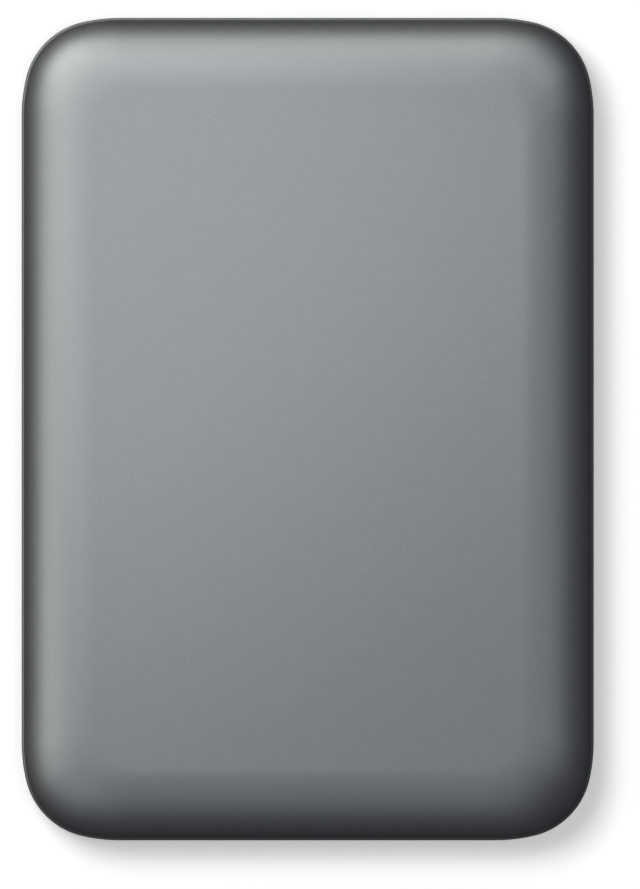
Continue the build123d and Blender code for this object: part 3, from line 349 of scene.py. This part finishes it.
def cut(piece, cutters):
    """Cuts closed meshes out of a piece and leaves its mesh plain."""
    made = []
    for mesh in cutters:
        cutter = add_object("cutter", mesh)
        modifier = piece.modifiers.new("cut", "BOOLEAN")
        modifier.operation = "DIFFERENCE"
        modifier.solver = "EXACT"
        modifier.object = cutter
        made.append(cutter)
    evaluated = piece.evaluated_get(bpy.context.evaluated_depsgraph_get())
    mesh = bpy.data.meshes.new_from_object(evaluated)
    piece.modifiers.clear()
    piece.data = mesh
    mesh.name = piece.name
    shade(mesh, SHARP_ANGLE)
    for cutter in made:
        bpy.data.objects.remove(cutter)


def facing_rear(mesh, x, y, z):
    """Turns a mesh made flat so that its height runs into the case from the rear, at the place."""
    mesh.transform(Matrix.Translation((x, y, z)) @ Matrix.Rotation(pi / 2, 4, "X"))
    return mesh


def rear_openings(sizes):
    """The tools that cut the socket's slot and the light's hole in the lower cover's rear wall."""
    half_x, half_z = sizes.slot_width / 2, sizes.slot_height / 2
    slot = rounded([(-half_x, -half_z), (half_x, -half_z), (half_x, half_z), (-half_x, half_z)],
                   sizes.slot_corner, steps=6)
    hole = circle(pipe_radius + sizes.fit_gap, steps=32)
    depth = [(0, -CUT_MARGIN), (0, OPENING_DEPTH)]
    tools = []
    for plan, low, high in ((slot, shell_low, shell_high), (hole, pipe_low, pipe_high)):
        x, _, z = middle(low, high)
        tools.append(facing_rear(sweep(plan, depth, None), x, tray_high.y, z))
    return tools


# Sizes and colours

def length(name, default, description):
    """A length that the user can set, in metres."""
    return FloatProperty(name=name, description=description, default=default, min=0.0,
                         precision=5, unit="LENGTH", subtype="DISTANCE")


def colour(name, default, description):
    """A colour that the user can set, written as sRGB hex."""
    return FloatVectorProperty(name=name, description=description, default=linear(default)[:3],
                               size=3, min=0.0, max=1.0, subtype="COLOR")


class DriveSizes(bpy.types.PropertyGroup):
    """Sizes of the pieces that show outside."""
    case_width: length("Case width", tray_high.x - tray_low.x, "Width of the lower cover")
    case_length: length("Case length", tray_high.y - tray_low.y, "Length of the lower cover")
    rim_step: length("Rim step", 0.32 * MM, "How far the upper cover stands back from the rim")
    wall: length("Wall", 1.5 * MM, "Thickness of both covers")
    edge_radius: length("Edge width", 9.8 * MM, "Width of the rolled upper edge")
    edge_height: length("Edge height", 8.7 * MM, "Height of the rolled upper edge")
    floor_radius: length("Lower edge radius", 3.0 * MM, "Radius of the lower edge")
    core_radius: length("Corner radius", 10.45 * MM, "Radius of the middle of each corner")
    lead_radius: length("Corner lead radius", 23.4 * MM, "Radius of the arcs beside each corner")
    flat_corner: length("Flat corner radius", 5.0 * MM, "Radius of the corners of the flat roof")
    lead_angle: FloatProperty(name="Corner lead angle", default=radians(13.1), subtype="ANGLE",
                              description="Turn of each arc that leads into a corner")
    seam_bevel: length("Seam bevel", 0.1 * MM, "Bevel of the upper cover where the covers meet")
    rim_slope: length("Rim slope", 0.46 * MM, "Height of the slope on the lower cover's rim")
    lip_gap: length("Lip gap", 0.1 * MM, "Clearance between the lower lip and the upper cover")
    slot_width: length("Slot width", 12.8 * MM, "Width of the opening for the socket")
    slot_height: length("Slot height", 3.0 * MM, "Height of the opening for the socket")
    slot_corner: length("Slot corner radius", 0.6 * MM, "Corner radius of the socket's opening")
    fit_gap: length("Fit gap", 0.05 * MM, "Clearance round the light pipe and the feet")
    sheet: length("Socket sheet", 0.3 * MM, "Thickness of the socket's shell")


class DriveColours(bpy.types.PropertyGroup):
    """Colours of the pieces that a user would change."""
    case: colour("Case", "#93969A", "Satin paint of both covers")
    rubber: colour("Rubber", "#1B1C1D", "Feet, bumpers and gasket")
    board: colour("Board", "#12402B", "Solder resist of both boards")
    nickel: colour("Nickel", "#B9B6AE", "Plating of the socket's shell")


# Finishes

def satin_paint(tone):
    """Satin paint with a fine metal flake over moulded ABS: a broad soft sheen, a faint speckle."""
    # The flake is about 0.05 mm across, too fine to show, so it is drawn at 0.18 mm. The tint
    # dims what the paint mirrors at a shallow angle, so that steep walls and rims stay dark
    return make_finish(
        "satin_paint_on_abs", tone, 0.49, metallic=1.0, grain=0.18 * MM, mottle=0.15,
        relief=0.0008 * MM, spread=0.03, shader={"Specular Tint": linear("#616161")})


def plain_finishes(colours):
    """The finishes of the pieces inside the case and in its rear end, by their short names."""
    finishes = {}
    # Moulded rubber: nearly black and dull, with the fine tooth of a spark-eroded mould
    finishes["rubber"] = make_finish(
        "moulded_rubber", colours.rubber, 0.78, grain=0.15 * MM, mottle=0.2, relief=0.01 * MM,
        spread=0.08)
    # Nickel plated steel sheet: bright, slightly warm, with faint drawing lines along its depth
    finishes["nickel"] = make_finish(
        "nickel_plated_sheet", colours.nickel, 0.24, metallic=1.0, grain=0.12 * MM,
        stretch=(1, 0.05, 1), mottle=0.06, relief=0.0006 * MM, spread=0.06)
    # Glass filled nylon: black with a dull moulded skin
    finishes["nylon"] = make_finish(
        "glass_filled_nylon", linear("#17181A"), 0.55, grain=0.08 * MM, mottle=0.25,
        relief=0.002 * MM, shader={"IOR": 1.53})
    # Hard gold flash on contacts: thin, smooth and yellow
    finishes["gold"] = make_finish(
        "gold_flash", linear("#D9B45B"), 0.2, metallic=1.0, grain=0.1 * MM, mottle=0.05,
        spread=0.05)
    # Frosted acrylic: milky and soft, so that the light behind it spreads over its end
    finishes["acrylic"] = make_finish(
        "frosted_acrylic", linear("#E9EEF0"), 0.4, grain=0.3 * MM, mottle=0.02, spread=0.03,
        shader={"IOR": 1.49, "Transmission Weight": 0.45})
    # Acetal: milky white and waxy
    finishes["acetal"] = make_finish(
        "white_acetal", linear("#E6E4DC"), 0.4, grain=0.3 * MM, mottle=0.03,
        shader={"IOR": 1.48})
    # Solder resist over etched copper: green, glossy, its tracks a slightly raised lattice
    finishes["board"] = make_finish(
        "solder_resist", colours.board, 0.32, texture="ShaderNodeTexBrick", grain=1.2 * MM,
        mottle=0.3, relief=0.02 * MM)
    # Epoxy moulding compound: charcoal and finely pitted
    finishes["epoxy"] = make_finish(
        "chip_epoxy", linear("#242527"), 0.6, grain=0.07 * MM, mottle=0.2, relief=0.003 * MM)
    # Die cast aluminium: pale, a little cloudy from flow in the die
    finishes["casting"] = make_finish(
        "die_cast_aluminium", linear("#B4B6B6"), 0.42, metallic=1.0, grain=1.5 * MM, mottle=0.08,
        relief=0.006 * MM, spread=0.1)
    # Rolled stainless sheet: long faint rolling lines
    finishes["stainless"] = make_finish(
        "rolled_stainless", linear("#B7B5B0"), 0.3, metallic=1.0, grain=0.25 * MM,
        stretch=(1, 0.03, 1), mottle=0.08, relief=0.0015 * MM)
    # Zinc plated screws: bluish and bright
    finishes["zinc"] = make_finish(
        "zinc_plate", linear("#AEB4BC"), 0.28, metallic=1.0, grain=0.2 * MM, mottle=0.12)
    # Stacked silicon steel: dull grey with a line at every sheet, 0.35 mm apart
    finishes["lamination"] = make_finish(
        "stacked_lamination", linear("#6F7072"), 0.45, metallic=1.0, texture="ShaderNodeTexWave",
        grain=0.35 * MM, mottle=0.35, relief=0.01 * MM, bands_direction="Z")
    # Enamelled copper wire: orange brown and glossy, in tight rows. The wire is 0.15 mm across,
    # too fine to show, so its rows are drawn 0.6 mm apart
    finishes["copper"] = make_finish(
        "enamelled_copper", linear("#B4602E"), 0.25, metallic=0.9, texture="ShaderNodeTexWave",
        grain=0.6 * MM, mottle=0.3, relief=0.03 * MM, bands_direction="Z")
    # Nickel plated magnet: mirror grey with a soft cast
    finishes["magnet"] = make_finish(
        "nickel_plated_magnet", linear("#A9A8A4"), 0.18, metallic=1.0, grain=0.8 * MM, mottle=0.05)
    # Sputtered magnetic layer on glass: a mirror that is barely darker than silver
    finishes["disc"] = make_finish(
        "sputtered_disc", linear("#9C9DA1"), 0.05, metallic=1.0, grain=4 * MM, mottle=0.03,
        spread=0.02)
    # Sintered slider ceramic: black with a grey sparkle
    finishes["ceramic"] = make_finish(
        "slider_ceramic", linear("#2C2D30"), 0.3, grain=0.05 * MM, mottle=0.4)
    # Open cell foam: charcoal pores about 0.4 mm across
    finishes["foam"] = make_finish(
        "open_cell_foam", linear("#3A3B3D"), 0.95, texture="ShaderNodeTexVoronoi",
        grain=0.4 * MM, mottle=0.5, relief=0.1 * MM)
    # Pressed felt: off white fibres
    finishes["felt"] = make_finish(
        "pressed_felt", linear("#D8D5CB"), 0.95, grain=0.12 * MM, mottle=0.15, relief=0.04 * MM,
        shader={"Sheen Weight": 0.3})
    # Polyimide film over copper tracks: amber and glossy. The tracks are 0.25 mm apart, too fine
    # to show, so they are drawn 0.8 mm apart
    finishes["polyimide"] = make_finish(
        "polyimide_film", linear("#A65A16"), 0.3, texture="ShaderNodeTexWave", grain=0.8 * MM,
        mottle=0.3, relief=0.01 * MM, bands_direction="Z")
    return finishes


# The finish of each material slot of the solids, by its short name; the case's slot has the paint
slot_finishes = {
    "foot_rubber": "rubber", "bumper_rubber": "rubber", "gasket_rubber": "rubber",
    "foam": "foam", "clear_plastic": "acrylic", "white_plastic": "acetal",
    "circuit_board": "board", "chip_plastic": "epoxy", "tin_can": "nickel",
    "black_plastic": "nylon", "gold_contact": "gold", "cast_aluminium": "casting",
    "steel": "stainless", "screw_steel": "zinc", "lamination": "lamination",
    "copper": "copper", "magnet_nickel": "magnet", "disc_coating": "disc",
    "head_ceramic": "ceramic", "filter_felt": "felt", "amber_film": "polyimide",
}


def finish_of(name):
    """A finish that the finishes operator made, by its material name."""
    return bpy.data.materials[name]


# Operators

class DRIVE_OT_finishes(bpy.types.Operator):
    """Make the finishes and put them on the solids that keep their own mesh"""
    bl_idname = "drive.finishes"
    bl_label = "Finishes"

    def execute(self, context):
        colours = context.scene.drive_colours
        finishes = plain_finishes(colours)
        paint = satin_paint(colours.case)
        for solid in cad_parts.values():
            slot = solid.data.materials[0].name
            solid.data.materials.clear()
            solid.data.materials.append(finishes.get(slot_finishes.get(slot), paint))
        return {"FINISHED"}


class DRIVE_OT_top_cover(bpy.types.Operator):
    """Make the upper cover: a smooth shell whose rolled edge runs round into a flat roof"""
    bl_idname = "drive.top_cover"
    bl_label = "Upper cover"

    def execute(self, context):
        sizes = context.scene.drive_sizes
        step, wall, bevel = sizes.rim_step, sizes.wall, sizes.seam_bevel
        radius = sizes.edge_radius
        split, top = roof_low.z, roof_high.z
        centre = (step + radius, top - radius)
        flat = centre[0] + FLAT_MARGIN
        lip = step + wall / 2
        rebate = tray_high.z + sizes.lip_gap
        start = degrees(asin((rebate - centre[1]) / (radius - wall)))
        shape = [(flat, top - wall)]
        shape += arc(centre, radius - wall, 90, 180 - start, steps=14)
        shape += [(lip, rebate), (lip, split), (step + bevel, split), (step, split + bevel)]
        # The outer roll is round and then pressed to its height
        drop = sizes.edge_height / radius
        roll = arc(centre, radius, 180, 90, steps=44)
        shape += [(inward, top - (top - up) * drop) for inward, up in roll]
        shape += [(flat, top)]
        paint = finish_of("satin_paint_on_abs")
        flat_plan = case_plan(sizes, flat, sizes.flat_corner)
        cover = place_piece("upper_cover", sweep(case_plan(sizes), shape, paint, goal=flat_plan))
        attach(cover, "case")
        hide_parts("top_cover")
        return {"FINISHED"}


class DRIVE_OT_bottom_cover(bpy.types.Operator):
    """Make the lower cover: a shallow tray with a lip for the upper cover and seats for the feet"""
    bl_idname = "drive.bottom_cover"
    bl_label = "Lower cover"

    def execute(self, context):
        sizes = context.scene.drive_sizes
        step, wall, radius = sizes.rim_step, sizes.wall, sizes.floor_radius
        split, low = roof_low.z, tray_low.z
        inner = step + wall
        inner_centre = (inner + radius - wall, low + radius)
        lip = step + wall / 2 + sizes.lip_gap
        shape = [(inner_centre[0] + FLAT_MARGIN, low + wall)]
        shape += arc(inner_centre, radius - wall, 270, 180, steps=6)
        shape += [(inner, tray_high.z), (lip, tray_high.z), (lip, split), (step, split)]
        # The rim slopes out in two flats that meet at these shares of its step and its height.
        # The point below it keeps the shading of the wall apart from that of the rim
        knee_in, knee_down = 0.4, 0.36
        rim_end = split - sizes.rim_slope
        shape += [(knee_in * step, split - knee_down * sizes.rim_slope), (0, rim_end),
                  (0, rim_end - sizes.seam_bevel)]
        shape += arc((radius, low + radius), radius, 180, 270, steps=20)
        shape += [(radius + FLAT_MARGIN, low)]
        paint = finish_of("satin_paint_on_abs")
        cover = place_piece("lower_cover", sweep(case_plan(sizes), shape, paint))
        cutters = rear_openings(sizes)
        seat = circle(foot_radius + sizes.fit_gap, steps=48)
        for node in foot_nodes:
            lowest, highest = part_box(node)
            x, y, _ = middle(lowest, highest)
            mesh = sweep(seat, [(0, lowest.z - CUT_MARGIN), (0, highest.z)], None)
            mesh.transform(Matrix.Translation((x, y, 0)))
            cutters.append(mesh)
        cut(cover, cutters)
        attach(cover, "case")
        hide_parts("bottom_cover")
        return {"FINISHED"}


class DRIVE_OT_feet(bpy.types.Operator):
    """Make the four rubber feet: low round pads with a rounded edge"""
    bl_idname = "drive.feet"
    bl_label = "Rubber feet"

    def execute(self, context):
        edge = 0.25 * MM
        # The sole is slightly hollow: it slopes up between these distances from its edge
        hollow_start, hollow_end, hollow_depth = 0.9 * MM, 1.2 * MM, 0.06 * MM
        shape = [(hollow_end, hollow_depth), (hollow_start, 0.0)]
        shape += arc((edge, edge), edge, 270, 180, steps=8)
        shape += [(0, foot_high.z - foot_low.z)]
        rubber = finish_of("moulded_rubber")
        foot = place_piece("foot", sweep(circle(foot_radius, steps=64), shape, rubber))
        points = []
        for node in foot_nodes:
            lowest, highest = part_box(node)
            x, y, _ = middle(lowest, highest)
            points.append((x, y, lowest.z))
        places = bpy.data.meshes.new("foot_places")
        places.from_pydata(points, [], [])
        source = add_object("foot_places", places)
        mesh = grow(source, repeat_tree(), {"Piece": foot, "Finish": rubber})
        feet = place_piece("rubber_feet", mesh)
        bpy.data.objects.remove(source)
        bpy.data.objects.remove(foot)
        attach(feet, "case")
        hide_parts(*foot_nodes)
        return {"FINISHED"}


class DRIVE_OT_socket(bpy.types.Operator):
    """Make the socket's shell: a folded sheet with two mouths side by side and a rolled edge"""
    bl_idname = "drive.socket"
    bl_label = "Socket shell"

    def execute(self, context):
        sheet = context.scene.drive_sizes.sheet
        left, right = shell_low.x, shell_high.x
        low, high = shell_low.z, shell_high.z
        _, _, middle_z = middle(shell_low, shell_high)
        # Widths of the main mouth and of the web beside it, bevel of the lower corners, and
        # radius and sharp angle of the folds
        main, web, bevel, fold, fold_angle = 7.2 * MM, 0.9 * MM, 0.8 * MM, 0.12 * MM, 50
        main_right = left + main
        web_right = left + main + web
        corners = [(left + bevel, low), (main_right - bevel, low), (main_right, low + bevel),
                   (web_right, low + bevel), (web_right + bevel, low), (right - bevel, low),
                   (right, low + bevel), (right, high), (left, high), (left, low + bevel)]
        plan = rounded([(x, z - middle_z) for x, z in corners], fold, steps=4)
        depth = shell_high.y - shell_low.y
        lip = sheet / 2
        shape = [(sheet, depth - sheet)]
        shape += arc((lip, lip), lip, 0, -180, steps=8)
        shape += [(0, depth)]
        nickel = finish_of("nickel_plated_sheet")
        mesh = facing_rear(sweep(plan, shape, nickel), 0, shell_high.y, middle_z)
        shell = place_piece("socket_shell", mesh, sharp=fold_angle)
        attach(shell, "case")
        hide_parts("usb_shell")
        return {"FINISHED"}


class DRIVE_OT_light(bpy.types.Operator):
    """Make the light pipe: a frosted rod with a domed end beside the socket"""
    bl_idname = "drive.light"
    bl_label = "Light pipe"

    def execute(self, context):
        dome, steps = 1.6 * MM, 8
        rise = asin(pipe_radius / dome)
        turns = [rise * k / steps for k in range(1, steps + 1)]
        shape = [(pipe_radius - dome * sin(turn), dome * (1 - cos(turn))) for turn in turns]
        shape += [(0, pipe_high.y - pipe_low.y)]
        acrylic = finish_of("frosted_acrylic")
        x, _, z = middle(pipe_low, pipe_high)
        rod = sweep(circle(pipe_radius, steps=40), shape, acrylic)
        pipe = place_piece("light_lens", facing_rear(rod, x, pipe_high.y, z))
        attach(pipe, "case")
        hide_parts("light_pipe")
        return {"FINISHED"}


class DRIVE_OT_ribbon(bpy.types.Operator):
    """Make the arm's ribbon: a thin film looped from the arm's hub to its bracket"""
    bl_idname = "drive.ribbon"
    bl_label = "Ribbon"

    def execute(self, context):
        film = 0.12 * MM
        half = film / 2
        _, middle_y, middle_z = middle(ribbon_low, ribbon_high)
        loop = (ribbon_high.y - ribbon_low.y - film) / 2
        centre = (ribbon_low.x + loop + half, middle_y)
        far = ribbon_high.x
        plan = [(far, centre[1] - loop)]
        plan += arc(centre, loop, 270, 90, steps=40)
        plan += [(far, centre[1] + loop)]
        shape = [(-half, ribbon_low.z), (half, ribbon_low.z),
                 (half, ribbon_high.z), (-half, ribbon_high.z)]
        amber = finish_of("polyimide_film")
        mesh = sweep(plan, shape, amber, closed_plan=False, closed_shape=True)
        ribbon = place_piece("flex_ribbon", mesh)
        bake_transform(ribbon)
        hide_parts("flex_circuit")
        return {"FINISHED"}


class DRIVE_OT_stage(bpy.types.Operator):
    """Make the pale floor, the soft lights and the camera straight above"""
    bl_idname = "drive.stage"
    bl_label = "Studio"

    def execute(self, context):
        scene = context.scene
        scene.view_settings.view_transform = "Standard"
        self.floor()
        self.world(scene)
        # Lights: compass angle from the right, angle above the floor, distance and width in
        # metres, power in watts. The first works on gloss only, the others on matt surfaces only
        near = self.light("near_softbox", 132, 61, 0.11, 0.14, 0.0555)
        near.visible_diffuse = False
        near.data.color = linear("#FFFFFA")[:3]
        shadow = self.light("shadow_softbox", 135, 70, 1.2, 0.4, 7.6)
        shadow.visible_glossy = False
        overhead = self.light("overhead_softbox", 328, 83.5, 1.2, 0.3, 1.8)
        overhead.visible_glossy = False
        self.camera(scene)
        return {"FINISHED"}

    def floor(self):
        """White matt sheet that takes the shadow; a gloss shows it dim, as in the case's shade."""
        # Half the sheet's side in metres, the glow that brings it up to white, and its level in
        # a gloss
        half, lift, dimmed = 3, 0.315, 0.1
        mesh = bpy.data.meshes.new("floor")
        mesh.from_pydata([(-half, -half, 0), (half, -half, 0), (half, half, 0), (-half, half, 0)],
                         [], [(0, 1, 2, 3)])
        floor = add_object("floor", mesh)
        material = bpy.data.materials.new("white_studio_sheet")
        tree = empty_tree(material)
        ray = add_node(tree, "ShaderNodeLightPath")
        matt = add_node(tree, "ShaderNodeBsdfDiffuse", {"Color": linear("#F4F4F4")})
        glow = add_node(tree, "ShaderNodeEmission", {"Strength": lift})
        sheet = add_node(tree, "ShaderNodeAddShader", {
            0: matt.outputs["BSDF"], 1: glow.outputs["Emission"]})
        mirrored = add_node(tree, "ShaderNodeEmission", {
            "Color": linear("#F8FFFF"), "Strength": dimmed})
        shown = add_node(tree, "ShaderNodeMixShader", {
            "Fac": ray.outputs["Is Glossy Ray"], 1: sheet.outputs["Shader"],
            2: mirrored.outputs["Emission"]})
        add_node(tree, "ShaderNodeOutputMaterial", {"Surface": shown.outputs["Shader"]})
        mesh.materials.append(material)

    def world(self, scene):
        """An even surround, white to the eye; a gloss shows it dim, with large bright cards."""
        world = bpy.data.worlds.new("studio")
        scene.world = world
        tree = empty_tree(world)
        ray = add_node(tree, "ShaderNodeLightPath")
        way = add_node(tree, "ShaderNodeTexCoord")
        # Levels of the surround in a gloss and on matt surfaces
        even, matt = 0.1, 0.2
        # Cards: compass angle from the right, angle above the floor, narrowness, strength, colour
        cards = [(110, 8, 5.0, 2.41, "#FFFFF7"), (155.5, 8, 4.4, 2.37, "#FFFFF7"),
                 (39.5, 46, 8.5, 1.31, "#FAFDFF"), (236.5, 51, 6.5, 0.7, "#FAFDFF")]
        level = [even * c for c in linear("#F7FCFF")[:3]]
        for compass, rise, narrowness, strength, tone in cards:
            towards = add_node(tree, "ShaderNodeVectorMath", {
                0: way.outputs["Generated"], 1: aim(compass, rise)}, operation="DOT_PRODUCT")
            ahead = add_node(tree, "ShaderNodeMath", {
                0: towards.outputs["Value"], 1: 0.0}, operation="MAXIMUM")
            shape = add_node(tree, "ShaderNodeMath", {
                0: ahead.outputs["Value"], 1: narrowness}, operation="POWER")
            total = add_node(tree, "ShaderNodeVectorMath", {
                0: shape.outputs["Value"], 1: [strength * c for c in linear(tone)[:3]], 2: level},
                operation="MULTIPLY_ADD")
            level = total.outputs["Vector"]
        glossed = add_node(tree, "ShaderNodeMix", {
            MIX_FACTOR: ray.outputs["Is Glossy Ray"], MIX_FIRST: (matt, matt, matt, 1.0),
            MIX_SECOND: level}, data_type="RGBA")
        open_view = add_node(tree, "ShaderNodeMath", {
            0: ray.outputs["Is Camera Ray"], 1: ray.outputs["Is Transmission Ray"]},
            operation="MAXIMUM")
        seen = add_node(tree, "ShaderNodeMix", {
            MIX_FACTOR: open_view.outputs["Value"], MIX_FIRST: glossed.outputs[MIX_RESULT],
            MIX_SECOND: linear("#FFFFFF")}, data_type="RGBA")
        sky = add_node(tree, "ShaderNodeBackground", {
            "Color": seen.outputs[MIX_RESULT], "Strength": 1.0})
        add_node(tree, "ShaderNodeOutputWorld", {"Surface": sky.outputs["Background"]})

    def light(self, name, compass, rise, distance, width, power):
        """A square soft light that faces the object."""
        lamp = bpy.data.lights.new(name, "AREA")
        lamp.size = width
        lamp.energy = power
        made = add_object(name, lamp)
        made.location = distance * aim(compass, rise)
        made.rotation_euler = (-made.location).to_track_quat("-Z", "Y").to_euler()
        return made

    def camera(self, scene):
        """A long lens straight above, whose frame is measured at the rim of the lower cover."""
        # Height above the rim and height of the frame in metres, and the place over the case
        distance, frame_height = 2.5, 0.1243
        across, along = 1.72 * MM, -2.15 * MM
        lens = bpy.data.cameras.new("camera")
        lens.sensor_fit = "AUTO"
        lens.sensor_width = 36.0
        lens.lens = lens.sensor_width * distance / frame_height
        made = add_object("camera", lens)
        made.location = (across, along, roof_low.z + distance)
        scene.camera = made


class DRIVE_PT_panel(bpy.types.Panel):
    """Lists the steps that dress the drive, with the sizes and colours they use"""
    bl_idname = "DRIVE_PT_panel"
    bl_label = "Portable hard drive"
    bl_space_type = "VIEW_3D"
    bl_region_type = "UI"
    bl_category = "Drive"

    def draw(self, context):
        for group in (context.scene.drive_sizes, context.scene.drive_colours):
            for name in group.bl_rna.properties.keys():
                if name not in ("rna_type", "name"):
                    self.layout.prop(group, name)
        for step in steps:
            self.layout.operator(step.bl_idname)


steps = (DRIVE_OT_finishes, DRIVE_OT_top_cover, DRIVE_OT_bottom_cover, DRIVE_OT_feet,
         DRIVE_OT_socket, DRIVE_OT_light, DRIVE_OT_ribbon, DRIVE_OT_stage)
classes = (DriveSizes, DriveColours) + steps + (DRIVE_PT_panel,)


def register():
    """Makes the classes known to Blender and gives each scene its sizes and colours."""
    for kind in classes:
        bpy.utils.register_class(kind)
    bpy.types.Scene.drive_sizes = PointerProperty(type=DriveSizes)
    bpy.types.Scene.drive_colours = PointerProperty(type=DriveColours)


def unregister():
    """Takes back what register did."""
    del bpy.types.Scene.drive_sizes
    del bpy.types.Scene.drive_colours
    for kind in reversed(classes):
        bpy.utils.unregister_class(kind)


def main():
    """Runs every step in order."""
    register()
    bpy.ops.drive.finishes()
    bpy.ops.drive.top_cover()
    bpy.ops.drive.bottom_cover()
    bpy.ops.drive.feet()
    bpy.ops.drive.socket()
    bpy.ops.drive.light()
    bpy.ops.drive.ribbon()
    bpy.ops.drive.stage()
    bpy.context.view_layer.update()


if __name__ == "__main__":
    main()
